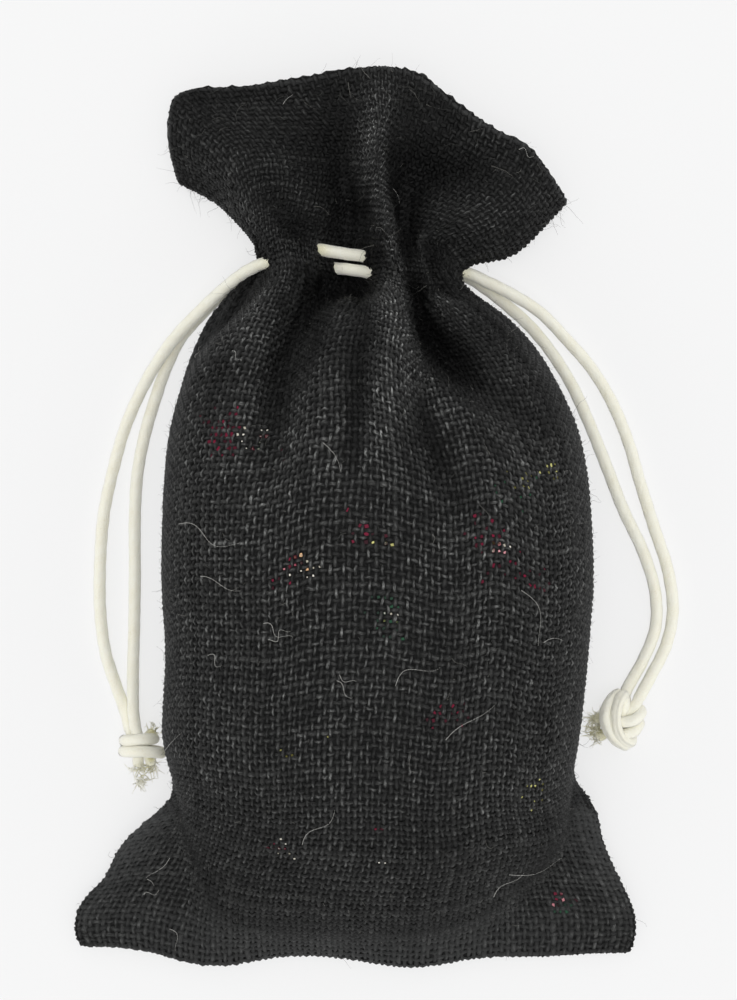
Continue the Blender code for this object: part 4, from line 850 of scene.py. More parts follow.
def cubic_weights(t):
    """Catmull-Rom weights of four points in a row, t being 0 to 1 between the middle two."""
    return (
        (-t + 2 * t**2 - t**3) / 2,
        (2 - 5 * t**2 + 3 * t**3) / 2,
        (t + 4 * t**2 - 3 * t**3) / 2,
        (-(t**2) + t**3) / 2,
    )


def read_smooth(grid, along, around):
    """Vectors of the grid at along 0 to 1 and around 0 to 2, read from a smooth surface."""
    rows, columns = grid.shape[:2]
    row = np.clip(along, 0, 1) * (rows - 1)
    column = around * columns / 2
    low = np.minimum(row.astype(int), rows - 2)
    left = np.floor(column).astype(int)
    by_row, by_column = cubic_weights(row - low), cubic_weights(column - left)
    total = np.zeros(row.shape + (3,))
    for i in range(4):
        near = np.clip(low + i - 1, 0, rows - 1)
        for j in range(4):
            weight = (by_row[i] * by_column[j])[..., None]
            total += weight * grid[near, (left + j - 1) % columns]
    return total


def unit(vectors):
    """The vectors at length 1; one without a length stays as it is."""
    return vectors / (np.linalg.norm(vectors, axis=-1, keepdims=True) + 1e-9)


def grid_frame(grid):
    """Unit vectors of the grid: up the cloth, and out of it."""
    along = unit(np.gradient(grid, axis=0))
    across = np.roll(grid, -1, 1) - np.roll(grid, 1, 1)
    return along, unit(np.cross(across, along))


def gathered(grid):
    """The surface with the small gathers that fan out of the neck."""
    _, normal = grid_frame(grid)
    rows, columns = grid.shape[:2]
    step = np.linalg.norm(np.diff(grid, axis=0), axis=2)
    run = np.concatenate([np.zeros((1, columns)), np.cumsum(step, axis=0)])
    past = grid[..., 1] - (NECK_MIDDLE - NECK_SLOPE * grid[..., 0])
    fade = np.where(past < 0, GATHER_BELOW, GATHER_ABOVE)
    strength = np.exp(-((past / fade) ** 2) * GATHER_FADE)
    around = side_by_side(columns)
    wave = np.zeros(columns)
    for share, count, phase in GATHER_WAVES:
        wave += share * np.sin(np.pi * count * around + phase)
    return grid + normal * (GATHER_DEPTH * strength * wave[None, :])[..., None], run


def painted_fold_shade(grid):
    """How much painted shade the front gets: 0 where it stands proud of the cloth around it,
    rising deep in a fold. The bottom corners get less, and each patch adds painted shade, or
    paints light where its amount is below 0.
    """
    half = grid.shape[1] // 2 + 1
    front = grid[:, :half]
    wide = front[..., 2]
    for _ in range(SHADE_REACH):
        wide = np.pad(wide, 1, mode="edge")
        beside = wide[:-2, 1:-1] + wide[2:, 1:-1] + wide[1:-1, :-2] + wide[1:-1, 2:]
        wide = (beside + 2 * wide[1:-1, 1:-1]) / 6
    inside = np.sin(np.pi * np.linspace(0, 1, half)) ** 0.5
    inside = inside * np.clip(np.linspace(0, SHADE_ROWS, len(grid)), 0, 1)[:, None]
    depth = np.zeros(grid.shape[:2])
    ears = np.clip((EARS_Z - front[..., 2]) / EARS_FADE_Z, 0, 1)
    ears *= np.clip((EARS_Y - front[..., 1]) / EARS_FADE_Y, 0, 1)
    depth[:, :half] = (wide - front[..., 2]) * inside - EARS_PAINTED_LIGHT * ears
    painted_shade = SHADE_MOST / (1 + np.exp((SHADE_EVEN - depth) / SHADE_DEPTH))
    for x, y, reach_x, reach_y, more in TONES:
        off_x, off_y = (front[..., 0] - x) / reach_x, (front[..., 1] - y) / reach_y
        painted_shade[:, :half] += more * np.exp(-(off_x**2) - off_y**2)
    return painted_shade


def swelled(grid):
    """The surface where the thin cloth lies a little away from the solid's."""
    for x, y, reach, push_x, push_y, push_z in SWELLS:
        near = np.exp(-(((grid[..., 0] - x) ** 2 + (grid[..., 1] - y) ** 2) / reach**2))
        grid = grid + near[..., None] * (push_x, push_y, push_z)
    return grid


class Cloth:
    """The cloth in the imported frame, in millimetres, read at its cloth coordinates."""

    def __init__(self):
        grid = sack_surface()
        rows = np.linspace(0, 1, ROWS + 1)[:, None]
        flat = read_grid(grid, rows, side_by_side(AROUND)[None, :]).reshape(-1, 3)
        middle = (flat.min(0) + flat.max(0)) / 2
        self.shift = np.array([-middle[0], -middle[1], -flat[:, 2].min()])
        self.grid, run = gathered(swelled(grid))
        self.grid = self.grid + self.shift
        self.length = run[-1].mean()
        at_neck = np.abs(grid[..., 1] - NECK_MIDDLE).argmin(axis=0)
        self.neck = run[at_neck, np.arange(grid.shape[1])].mean()
        self.along, self.normal = grid_frame(self.grid)
        # painted shade of the folds, and the patches of painted light
        self.painted_shade = np.repeat(painted_fold_shade(grid)[..., None], 3, axis=2)

    def painted_shade_at(self, length, around):
        painted_shade = read_smooth(self.painted_shade, length / self.length, around)[..., 0]
        return np.clip(painted_shade, *SHADE_LIMITS)

    def depth_at(self, length):
        """How far the middle of the weave lies inside the solid's surface."""
        share = np.clip((length - self.neck + DEEPER_FROM) / DEEPER_OVER, 0, 1)
        return BODY_DEPTH + (RUFFLE_DEPTH - BODY_DEPTH) * share * share * (3 - 2 * share)

    def read(self, length, around, depth=None, hem_round=HEM_ROUND):
        """Places and normals of the cloth at `length` from the bottom seam. The cloth rounds
        off at the seam, and past the hem's edge it turns back inside."""
        length, around = np.broadcast_arrays(np.asarray(length, float), np.asarray(around, float))
        round_bottom = SEAM_HALF_THICKNESS - (BODY_DEPTH if depth is None else depth)
        flat = length - round_bottom * (math.pi / 2 - 1)
        hem = self.length - hem_round
        turn = np.clip((flat - hem) / hem_round, 0, math.pi)
        turned_in = np.maximum(flat - hem - math.pi * hem_round, 0)
        base = np.clip(flat, round_bottom, hem) - turned_in
        share = base / self.length
        point = read_smooth(self.grid, share, around)
        along = unit(read_smooth(self.along, share, around))
        normal = unit(read_smooth(self.normal, share, around))
        inside = self.depth_at(base) if depth is None else np.full(base.shape, depth)
        point = point - normal * inside[..., None]
        bend = np.clip(length / round_bottom, 0, math.pi / 2)
        sine, cosine = np.sin(bend)[..., None], np.cos(bend)[..., None]
        seam_normal = normal * sine - along * cosine
        point = point + (seam_normal - normal) * round_bottom
        sine, cosine = np.sin(turn)[..., None], np.cos(turn)[..., None]
        hem_normal = normal * cosine + along * sine
        point = point + (hem_normal - normal) * hem_round
        normal = np.where((turn > 0)[..., None], hem_normal, seam_normal)
        return point, unit(normal)


# --- making meshes ---


def link_piece(mesh, material):
    """A smooth piece in the scene, of the mesh and by its name."""
    mesh.shade_smooth()
    mesh.materials.append(material)
    piece = bpy.data.objects.new(mesh.name, mesh)
    bpy.context.scene.collection.objects.link(piece)
    return piece


def new_mesh(name, points, faces, material, values=None):
    """A piece from points in millimetres, faces of equal size and values at the points."""
    faces = np.asarray(faces, np.int32)
    mesh = bpy.data.meshes.new(name)
    mesh.vertices.add(len(points))
    mesh.vertices.foreach_set("co", (np.asarray(points) * MM).astype(np.float32).ravel())
    mesh.loops.add(faces.size)
    mesh.loops.foreach_set("vertex_index", faces.ravel())
    mesh.polygons.add(len(faces))
    starts = np.arange(0, faces.size, faces.shape[1], dtype=np.int32)
    mesh.polygons.foreach_set("loop_start", starts)
    mesh.update(calc_edges=True)
    for key, value in (values or {}).items():
        made = mesh.attributes.new(key, "FLOAT", "POINT")
        made.data.foreach_set("value", np.asarray(value, np.float32).ravel())
    return link_piece(mesh, material)


def strip_faces(lines, steps, section, closed):
    """Quads that skin `lines` strips of `steps` sections with `section` points each."""
    wide = section if closed else section - 1
    line, step, k = np.indices((lines, steps - 1, wide))
    here = (line * steps + step) * section
    after = here + section
    beside = (k + 1) % section
    return np.stack([here + k, here + beside, after + beside, after + k], -1).reshape(-1, 4)


def wander(rng, lines, steps, every):
    """Smooth random values, -1 to 1, along each of `lines` yarns."""
    knots = rng.uniform(-1, 1, (lines, steps // every + 3))
    at = np.arange(steps) / every
    low = at.astype(int)
    t = at - low
    t = t * t * (3 - 2 * t)
    return knots[:, low] * (1 - t) + knots[:, low + 1] * t


# --- yarns ---


def evened(values):
    """The values smoothed along the second axis."""
    for _ in range(EVEN_REACH):
        values = np.pad(values, ((0, 0), (1, 1)), mode="edge")
        values = (values[:, :-2] + 2 * values[:, 1:-1] + values[:, 2:]) / 4
    return values


def straighter(cloth, length, around, held, fade):
    """Cloth coordinates moved so that the yarns run straighter as seen from above."""

    def moved(off, slope, least, most):
        return np.clip(off * slope / (slope**2 + least), -most, most) * held

    place = cloth.read(length, around)[0]
    for _ in range(2):
        slope = np.gradient(place[..., 1], axis=0) / np.gradient(length, axis=0)
        off = evened(place[..., 1]) - place[..., 1]
        length = length + moved(off, slope, *WEFT_MOVED) * fade * EVEN_SHARE
        slope = np.gradient(place[..., 0], axis=1) / np.gradient(around, axis=1)
        off = evened(place[..., 0].T).T - place[..., 0]
        around = around + moved(off, slope, *WARP_MOVED) * EVEN_SHARE
        place = cloth.read(length, around)[0]
    return length, around


def waves(length, share, layer, rows):
    """The sum of a table's waves over one layer of the cloth."""
    return sum(
        size * np.sin(length / period + turns * share + (phase + further * layer))
        for size, period, turns, phase, further in rows
    )


def lattice(cloth, layer):
    """Places, normals and directions of one layer of cloth at every half pitch of the weave.
    Odd rows are weft yarns, and odd columns are warp yarns."""
    step = (cloth.length + PICKS_PAST) / (2 * PICKS)
    hem_steps = round((math.pi * HEM_ROUND + HEM_TURN) / step)
    rows = np.arange(2 * PICKS + hem_steps) * step
    share = np.arange(2 * ENDS + 1) / (2 * ENDS)
    length, share = np.meshgrid(rows, share, indexing="ij")
    held = np.sin(np.pi * share) ** COURSE_EDGE
    fade = np.clip(length / COURSE_FADE, 0, 1)
    fade *= np.clip((cloth.length - length) / COURSE_FADE, 0, 1)
    beside = np.minimum(share, 1 - share) / SIDE_SHEEN
    below = np.clip((cloth.neck - length) / SIDE_SHEEN_TOP, 0, 1)
    below *= np.clip(length / SIDE_SHEEN_FOOT, 0, 1)
    moved, around = straighter(cloth, length, layer + share, held, fade)
    around = around + waves(length, share, layer, DRIFT) * held / (ENDS * DRIFT_ENDS)
    sway = waves(length, share, layer, SWAY)
    point, normal = cloth.read(moved + sway * held * fade, around)
    # Painted sheen: a smooth paler grey beside the side folds, above the bottom seam and along the
    # hem.
    painted_sheen = np.where(point[..., 0] < 0, *SIDE_SHEEN_STRENGTH) * np.exp(-(beside**2)) * below
    painted_sheen = np.maximum(painted_sheen, FOOT_SHEEN_STRENGTH * held * np.exp(-((length / FOOT_SHEEN) ** 2)))
    hem = np.clip(1 + (length - cloth.length) / HEM_SHEEN, 0, 1)
    painted_sheen = np.maximum(painted_sheen, HEM_SHEEN_STRENGTH * hem)
    across = unit(np.gradient(point, axis=1))
    along = unit(np.cross(normal, across))
    return point, normal, across, along, length, cloth.painted_shade_at(length, around), painted_sheen


def yarns(rng, section, closed, highlight_strength, point, normal, along, side, pitch, over, painted_shade, painted_sheen):
    """Points and values of parallel yarns. The arrays run yarn by sample."""
    lines, steps = over.shape

    def uneven(base, wanders, every, jumps):
        slow = base + wanders * wander(rng, lines, steps, every)
        return slow + jumps * rng.uniform(-1, 1, (lines, steps))

    tone = rng.uniform(0, 1, (lines, 1)) * TONES_DIFFER + TONE_LEAST
    tone = tone + TONE_WANDERS * wander(rng, lines, steps, TONE_EVERY)
    slub = uneven(1, *SLUB)
    thick_yarn = 1 + YARNS_DIFFER * rng.normal(0, 1, (lines, 1))
    width = np.clip(pitch * YARN_FILL, NARROWEST, WIDEST) * slub * thick_yarn
    width = width * (1 + CREST_WIDER * over)
    full = np.clip(width / WIDE_YARN, 0, FULLEST)
    thick = YARN_THICK * (THIN_YARN + (1 - THIN_YARN) * full) * slub
    shake = uneven(0, *SHAKE)
    lift = YARN_RISE * over * (1 - SHEEN_FLATTER * painted_sheen)
    lift = lift + LIFT_JUMPS * rng.uniform(-1, 1, (lines, steps))
    centre = point + side * (shake * pitch)[..., None] + normal * lift[..., None]
    tilt = YARN_TILT * rng.uniform(-1, 1, (lines, steps))[..., None]
    side, normal = side + normal * tilt, normal - side * tilt
    across, up = np.array(section).T
    points = (
        centre[:, :, None]
        + side[:, :, None] * (width[..., None] * across)[..., None]
        + normal[:, :, None] * (thick[..., None] * up)[..., None]
    )
    gap = np.linalg.norm(np.diff(centre, axis=1), axis=2)
    run = np.concatenate([np.zeros((lines, 1)), np.cumsum(gap, axis=1)], axis=1)
    size = points.shape[:3]
    # The painted highlight: a pale stroke on the top of each float that passes over another,
    # stronger high on the crown, weaker low down, in the painted shade of folds and in the painted
    # sheen.
    strokes = rng.uniform(0, 1, (lines, steps)) ** STROKES_FEW
    glow = np.clip(over, 0, 1) * (STROKE_LEAST + (1 - STROKE_LEAST) * strokes)
    tail = STROKE_TAIL * np.maximum(glow[:, 2:], glow[:, :-2])
    glow[:, 1:-1] = np.maximum(glow[:, 1:-1], tail)
    high = np.clip((point[..., 2] - HIGHLIGHT_FROM) / HIGHLIGHT_OVER, HIGHLIGHT_LEAST, 1)
    low_fade = np.clip((point[..., 1] + HIGHLIGHT_LOW_END) / HIGHLIGHT_LOW_OVER, 0, 1)
    low_fade = HIGHLIGHT_LOW + (1 - HIGHLIGHT_LOW) * low_fade
    glow = highlight_strength * glow * high * low_fade * (1 - painted_shade) ** HIGHLIGHT_OPEN * (1 - painted_sheen)
    values = {
        "run": run[..., None],
        "across": across * 2 + rng.uniform(0, YARNS_APART, (lines, 1, 1)),
        # painted light of the patches is added to the tone
        "tone": (tone - np.minimum(painted_shade, 0))[..., None],
        "painted_highlight": glow[..., None] * np.where(up > CREST_FROM, 1.0, CREST_SIDES),
        "painted_shade": np.maximum(painted_shade, 0)[..., None],
        "painted_sheen": painted_sheen[..., None],
    }
    values = {key: np.broadcast_to(value, size) for key, value in values.items()}
    points[..., 2] = np.maximum(points[..., 2], LOWEST)
    return points.reshape(-1, 3), strip_faces(lines, steps, len(section), closed), values


def weave_layer(cloth, layer, name, material, rng):
    """The warp and weft of one layer: fine below the neck, closed tubes in the ruffle."""
    point, normal, across, along, length, painted_shade, painted_sheen = lattice(cloth, layer)
    rows, columns = point.shape[:2]
    tall, wide = (np.linalg.norm(np.gradient(point, axis=i), axis=2) * 2 for i in (0, 1))
    row, column = np.indices((rows, columns))
    parity = (row // 2 + column // 2) % 2 * 2 - 1
    crossing = (row % 2 == 1) & (column % 2 == 1)
    warp_over = np.where(crossing, parity, 0).astype(float)
    seam = np.zeros(columns)
    seam[[0, -1]] = SIDE_DIVE
    seam[[1, -2]] = SIDE_DIVE / 4
    point = point - normal * seam[None, :, None]
    neck_row = int(np.searchsorted(length[:, 0], cloth.neck - TUBES_FROM)) | 1
    warp = (point, normal, along, across, wide, warp_over, painted_shade, painted_sheen)
    weft = (point, normal, across, -along, tall, -warp_over, painted_shade, painted_sheen)
    stretches = (
        ("body", 0, neck_row + 1, FLAT_ROOF if layer else ROOF, False),
        ("ruffle", neck_row, rows, ROUND, True),
    )
    made = []
    for part, first, last, section, closed in stretches:
        ends = [np.swapaxes(values[first:last, 1::2], 0, 1) for values in warp]
        picks = [values[first | 1 : last : 2] for values in weft]
        for kind, arrays, highlight_strength in (("warp", ends, WARP_HIGHLIGHT), ("weft", picks, WEFT_HIGHLIGHT)):
            points, faces, values = yarns(rng, section, closed, highlight_strength, *arrays)
            made.append(new_mesh(f"{name}_{kind}_{part}", points, faces, material, values))
    return made


def make_core(cloth, material):
    """The closed dark body inside the weave, open at the mouth as the solid is."""
    around = side_by_side(CORE_AROUND)[None, :]
    outer = np.linspace(0, cloth.length + CORE_TOP, CORE_ROWS)[:, None]
    inner = np.linspace(cloth.length - 1, cloth.length - MOUTH_REACH, MOUTH_ROWS)[:, None]
    loops = [
        *cloth.read(outer, around, CORE_DEPTH, CORE_ROUND)[0],
        *cloth.read(inner, around, CORE_DEPTH + CORE_WALL, CORE_ROUND)[0],
    ]
    points = np.concatenate(loops)
    points[:, 2] = np.maximum(points[:, 2], LOWEST)
    count = CORE_AROUND
    faces = strip_faces(1, len(loops), count, True).tolist()
    caps = [(i, i + 1, count - i - 1, count - i) for i in range(1, count // 2 - 1)]
    caps += [(0, 1, count - 1), (count // 2, count // 2 + 1, count // 2 - 1)]
    faces += [cap[::-1] for cap in caps]
    faces += [tuple((len(loops) - 1) * count + i for i in cap) for cap in caps]
    mesh = bpy.data.meshes.new("sack_cloth")
    mesh.from_pydata((points * MM).tolist(), [], faces)
    return link_piece(mesh, material)


# --- cords and knots ---


def closed_route(route, step):
    """Points `step` apart on a smooth closed curve through the route, ending where it starts."""
    route = np.array(route)
    at = np.arange(len(route) * TURN_FINE + 1) / TURN_FINE
    low = at.astype(int)
    weights = cubic_weights(at - low)
    dense = sum(weights[k][:, None] * route[(low + k - 1) % len(route)] for k in range(4))
    return evenly(dense, round(run_of(dense)[-1] / step) + 1)


def path_frame(path):
    """Unit vectors along a path and two across it that turn as little as they can."""
    along = unit(np.gradient(path, axis=0))
    side = np.zeros_like(along)
    first = np.cross(along[0], (0.0, 0.0, 1.0))
    side[0] = first / np.linalg.norm(first)
    for i in range(1, len(path)):
        level = side[i - 1] - along[i] * side[i - 1].dot(along[i])
        side[i] = level / np.linalg.norm(level)
    return along, side, np.cross(along, side)


def cord_points(path, radius, rng):
    """Points, faces and values of a soft round cord of twisted plies along the path."""
    along, side, up = path_frame(path)
    steps = len(path)
    run = run_of(path)
    angle = np.arange(CORD_SIDES) * 2 * math.pi / CORD_SIDES
    turn = angle[None, :] - run[:, None] * 2 * math.pi / CORD_LAY
    radius = np.broadcast_to(radius, (steps,))[:, None]
    uneven = 1 + CORD_UNEVEN * wander(rng, 1, steps, 5)[0][:, None]
    relief = np.abs(np.cos(turn * CORD_PLIES / 2)) - RELIEF_MEAN
    size = radius * uneven * (1 + CORD_RELIEF * relief)
    cosine, sine = (values[None, :, None] for values in (np.cos(angle), np.sin(angle)))
    ring = cosine * side[:, None] + sine * up[:, None]
    points = path[:, None] + ring * size[..., None]
    values = {
        "run": np.broadcast_to(run[:, None], size.shape) + rng.uniform(0, CORDS_APART),
        "across": turn + rng.uniform(0, CORDS_APART),
    }
    faces = strip_faces(1, steps, CORD_SIDES, True)[:, ::-1]
    return points.reshape(-1, 3), faces, {k: v.ravel() for k, v in values.items()}


def capped(path, radius):
    """The path with its radius drawn in at both ends, so that the cord ends in a soft cap."""
    shares = np.array(CAP_SHARES)
    shrink = np.sqrt(1 - (1 - shares) ** 2)
    ends = []
    for point, inner in ((path[0], path[1]), (path[-1], path[-2])):
        out = unit(point - inner)
        ends.append([point + out * CORD_CAP * radius * (1 - s) for s in shares])
    radii = np.concatenate([shrink * radius, np.full(len(path), radius), shrink[::-1] * radius])
    return np.concatenate([ends[0], path, ends[1][::-1]]), np.maximum(radii, 0.05)


def joined(parts):
    """Several (points, faces, values) as one."""
    points, faces, values, start = [], [], {}, 0
    for part_points, part_faces, part_values in parts:
        points.append(part_points)
        faces.append(part_faces + start)
        start += len(part_points)
        for key, value in part_values.items():
            values.setdefault(key, []).append(value)
    values = {key: np.concatenate(value) for key, value in values.items()}
    return np.concatenate(points), np.concatenate(faces), values


def stain_and_shade_near(points, places):
    """0 to 1 near the places: x, y and z, reach, strength."""
    stain_and_shade = np.zeros(len(points))
    for place, reach, strength in places:
        apart = np.linalg.norm(points - np.array(place), axis=1)
        stain_and_shade = np.maximum(stain_and_shade, strength * np.exp(-((apart / reach) ** 2)))
    return stain_and_shade


def make_cord(name, route, cloth, material, rng):
    """One stretch of drawcord, and the path of its middle."""
    path = smooth_route(route, CORD_FINE_STEP) + cloth.shift
    points, faces, values = cord_points(*capped(path, CORD_D / 2), rng)
    # painted shade where the cord goes into the gathers
    values["stain_and_shade"] = stain_and_shade_near(points - cloth.shift, CORD_SHADE)
    points[:, 2] = np.maximum(points[:, 2], LOWEST)
    return new_mesh(name, points, faces, material, values), path


def curl(rng, start, heading, length, steps, wildness, droop=0.0):
    """A hair's path: it sets out along `heading` and wanders."""
    points = [np.asarray(start, float)]
    heading = unit(np.asarray(heading, float))
    bend = rng.normal(0, 1, 3) * wildness
    for _ in range(steps):
        shake = rng.normal(0, 1, 3) * wildness * CURL_SHAKE
        heading = unit(heading + bend / steps + shake - (0, 0, droop / steps))
        points.append(points[-1] + heading * length / steps)
    return np.array(points)


def hair_mesh(paths, radius):
    """Points and faces of three-sided hairs, all with the same number of points."""
    paths = np.asarray(paths)
    count, steps = paths.shape[:2]
    along = unit(np.gradient(paths, axis=1))
    helper = np.where(np.abs(along[..., 2:3]) < 0.8, (0.0, 0.0, 1.0), (1.0, 0.0, 0.0))
    side = unit(np.cross(along, helper))
    up = np.cross(along, side)
    taper = np.linspace(1, HAIR_TIP, steps)[None, :, None]
    taper = taper * np.broadcast_to(radius, (count,))[:, None, None]
    rings = []
    for k in range(3):
        angle = k * 2 * math.pi / 3
        rings.append(paths + (side * math.cos(angle) + up * math.sin(angle)) * taper)
    points = np.stack(rings, axis=2)
    return points, strip_faces(count, steps, 3, True)[:, ::-1]


def fray(rng, at, heading, count, spread, long):
    """The fibres that a cord's cut end opens into."""
    paths = []
    for _ in range(count):
        start = np.asarray(at) + rng.normal(0, 1, 3) * FRAY_SCATTER
        out = unit(np.asarray(heading, float)) + rng.normal(0, 1, 3) * spread
        path = curl(rng, start, out, rng.uniform(*long), *FRAY_CURL)
        path[:, 2] = np.maximum(path[:, 2], FRAY_LOWEST)
        paths.append(path)
    points, faces = hair_mesh(paths, FRAY_RADIUS)
    size = points.shape[:3]
    values = {
        "run": np.broadcast_to(np.arange(size[1])[None, :, None] * 1.0, size).ravel(),
        "across": np.broadcast_to(rng.uniform(0, CORDS_APART, (size[0], 1, 1)), size).ravel(),
    }
    return points.reshape(-1, 3), faces, values


def make_knot(name, cloth, material, rng):
    """The wraps, the two strands that run into them, and the frayed ends."""
    knot = KNOTS[name]
    centre = np.array(knot["centre"]) * (1, 1, 0) + cloth.shift
    parts = []
    for route in knot["wraps"]:
        parts.append(cord_points(closed_route(route, KNOT_STEP) + centre, KNOT_CORD / 2, rng))
    for route in knot["runs"] + knot["tails"]:
        path, radii = capped(smooth_route(route, KNOT_STEP) + centre, KNOT_CORD / 2 * KNOT_RUN_D)
        parts.append(cord_points(path, radii, rng))
    for at, heading, count, spread, long in knot["frays"]:
        parts.append(fray(rng, np.array(at) + centre, heading, count, spread, long))
    points, faces, values = joined(parts)
    # real stains on the frayed ends, and painted shade between the wraps and the tails
    values["stain_and_shade"] = stain_and_shade_near(points - centre, knot["stains_and_shade"])
    points[:, 2] = np.maximum(points[:, 2], LOWEST)
    return new_mesh(name + "_tied", points, faces, material, values)


# --- fuzz, lint and what glints inside ---


def make_fuzz(cloth, rng, material, name, count, lowest, long, radius, lean, steps, wildness):
    """Fine fibres that stand off the yarns. A lowest below 0 is counted from the hem."""
    length = rng.uniform(lowest + (cloth.length if lowest < 0 else 0), cloth.length, count)
    around = rng.uniform(0, 2, count)
    point, normal = cloth.read(length, around)
    across = unit(cloth.read(length, around + 0.002)[0] - point)
    up = np.cross(normal, across)
    angle = rng.uniform(0, 2 * math.pi, count)
    heading = across * np.cos(angle)[:, None] + up * np.sin(angle)[:, None]
    heading = unit(heading + normal * rng.uniform(*lean, count)[:, None])
    start = point + normal * rng.uniform(*FUZZ_ROOTS, count)[:, None]
    paths = []
    for k in range(count):
        path = curl(rng, start[k], heading[k], rng.uniform(*long), steps, wildness)
        path[:, 2] = np.maximum(path[:, 2], FUZZ_LOWEST)
        paths.append(path)
    points, faces = hair_mesh(paths, rng.uniform(*radius, count))
    tone = np.broadcast_to(rng.uniform(0, 1, (count, 1, 1)), points.shape[:3])
    return new_mesh(name, points.reshape(-1, 3), faces, material, {"tone": tone})


def core_tree(core):
    """The core in millimetres, for rays."""
    points = [tuple(v.co / MM) for v in core.data.vertices]
    return BVHTree.FromPolygons(points, [tuple(p.vertices) for p in core.data.polygons])


def seen_from_camera(tree, cloth, x, y):
    """Where the camera's ray to a place on the base plane meets the cloth, and its normal."""
    eye = Vector((cloth.shift[0], cloth.shift[1], CAMERA_HEIGHT))
    target = Vector((x + cloth.shift[0], y + cloth.shift[1], 0))
    hit, normal, _, _ = tree.ray_cast(eye, (target - eye).normalized())
    if hit is None:
        hit, normal = target, Vector((0, 0, 1))
    return np.array(hit), np.array(normal)


def make_lint(cloth, tree, rng):
    """Pale curly hairs caught on the cloth."""
    paths = []
    t = np.linspace(0, 1, LINT_STEPS)
    for x0, y0, x1, y1, halves, swing, phase in LINT:
        way = np.array((x1 - x0, y1 - y0))
        off = np.array((-way[1], way[0])) / (np.linalg.norm(way) + 1e-9)
        wave = swing * (np.sin(halves * math.pi * t + phase) - math.sin(phase) * (1 - t))
        line = []
        for place in np.array((x0, y0)) + t[:, None] * way + wave[:, None] * off:
            hit, normal = seen_from_camera(tree, cloth, *place)
            line.append(hit + normal * LINT_LIFT[0 if hit[2] > 1 else 1])
        line = np.array(line)
        line[:, 2] += np.interp(t, (0, 0.5, 1), rng.uniform(0.0, LINT_LOOSE, 3))
        paths.append(line)
    points, faces = hair_mesh(paths, LINT_RADIUS)
    return new_mesh("lint", points.reshape(-1, 3), faces, plain("lint_pale", LINT_COLOUR, 0.6))


def make_glints(cloth, tree, rng):
    """The coloured filling where it shows through the holes of the weave, and painted sparkles of
    light.
    """
    made = []
    holes, normals = (values[::2, ::2].reshape(-1, 3) for values in lattice(cloth, 0)[:2])
    for colour, (dull, vivid, *rows) in GLINTS.items():
        points, tones, taken = [], [], set()
        for x, y, reach_x, reach_y, count, big in rows:
            for _ in range(count):
                off = rng.normal(0, GLINT_SCATTER, 2) * (reach_x, reach_y)
                place = np.array((x, y)) + off
                hit, _ = seen_from_camera(tree, cloth, *place)
                nearest = int(np.linalg.norm(holes - hit, axis=1).argmin())
                if nearest in taken:
                    continue
                taken.add(nearest)
                size = GLINT_SIZE * big * rng.uniform(*GLINTS_DIFFER)
                normal = normals[nearest]
                side = unit(np.cross(normal, GLINT_SIDE))
                up = np.cross(normal, side)
                middle = holes[nearest] + normal * GLINT_RISE
                tones += [rng.uniform(0, 1)] * 4
                for k in range(4):
                    angle = (k + 0.5) * math.pi / 2 + rng.uniform(-GLINT_RAGGED, GLINT_RAGGED)
                    out = side * math.cos(angle) + up * math.sin(angle)
                    points.append(middle + out * size / 2)
        faces = np.arange(len(points)).reshape(-1, 4)
        name = f"filling_{colour}"
        look = filling(name, dull, vivid)
        made.append(new_mesh(name, np.array(points), faces, look, {"tone": tones}))
    return made


# --- materials ---

# Colours of the painted highlight on the yarns' tops, the painted sheen and the painted shade of
# the folds.
HIGHLIGHT_COLOUR = (0.76, 0.77, 0.75)
SHEEN_GREY = (0.069, 0.0705, 0.0705)
FOLD_SHADE_COLOUR = (0.0012, 0.0012, 0.0013)
JUTE_TONES = (
    (0.30, (0.0108, 0.0109, 0.0108)), (0.50, (0.0202, 0.0204, 0.0201)),
    (0.62, (0.041, 0.0415, 0.0405)), (0.74, (0.125, 0.126, 0.122)),
)
FUZZ_TONES = (
    (0.0, (0.010, 0.010, 0.010)), (0.7, (0.03, 0.03, 0.029)),
    (0.93, (0.12, 0.12, 0.11)), (1.0, (0.32, 0.31, 0.28)),
)
COTTON_TONES = ((0.28, (0.89, 0.84, 0.66)), (0.45, (0.98, 0.955, 0.81)), (0.62, (1.0, 0.99, 0.88)))
# The stain colour: real stains on the knots' frayed ends, and painted shade in the knots and the
# gathers.
STAIN_AND_SHADE_TONES = ((0.3, (0.40, 0.33, 0.08)), (0.7, (0.97, 0.94, 0.48)))
YARN_BUMP = 0.00035
FINE_BUMP = 0.0003


def grey(value):
    return (value, value, value)


def node(tree, kind, **settings):
    made = tree.nodes.new("ShaderNode" + kind)
    for key, value in settings.items():
        setattr(made, key, value)
    return made


def material(name, base, roughness, **sockets):
    made = bpy.data.materials.new(name)
    made.use_nodes = True
    shader = made.node_tree.nodes["Principled BSDF"]
    shader.inputs["Base Color"].default_value = (*base, 1)
    shader.inputs["Roughness"].default_value = roughness
    for key, value in sockets.items():
        shader.inputs[key.replace("_", " ")].default_value = value
    return made, made.node_tree, shader


def paint(tree, shader, colour):
    tree.links.new(colour, shader.inputs["Base Color"])


def attribute(tree, name):
    """A value that the mesh carries at its points."""
    return node(tree, "Attribute", attribute_name=name).outputs["Fac"]


def math_node(tree, operation, a, b):
    made = node(tree, "Math", operation=operation)
    for socket, value in zip(made.inputs, (a, b)):
        if isinstance(value, (int, float)):
            socket.default_value = value
        else:
            tree.links.new(value, socket)
    return made.outputs[0]


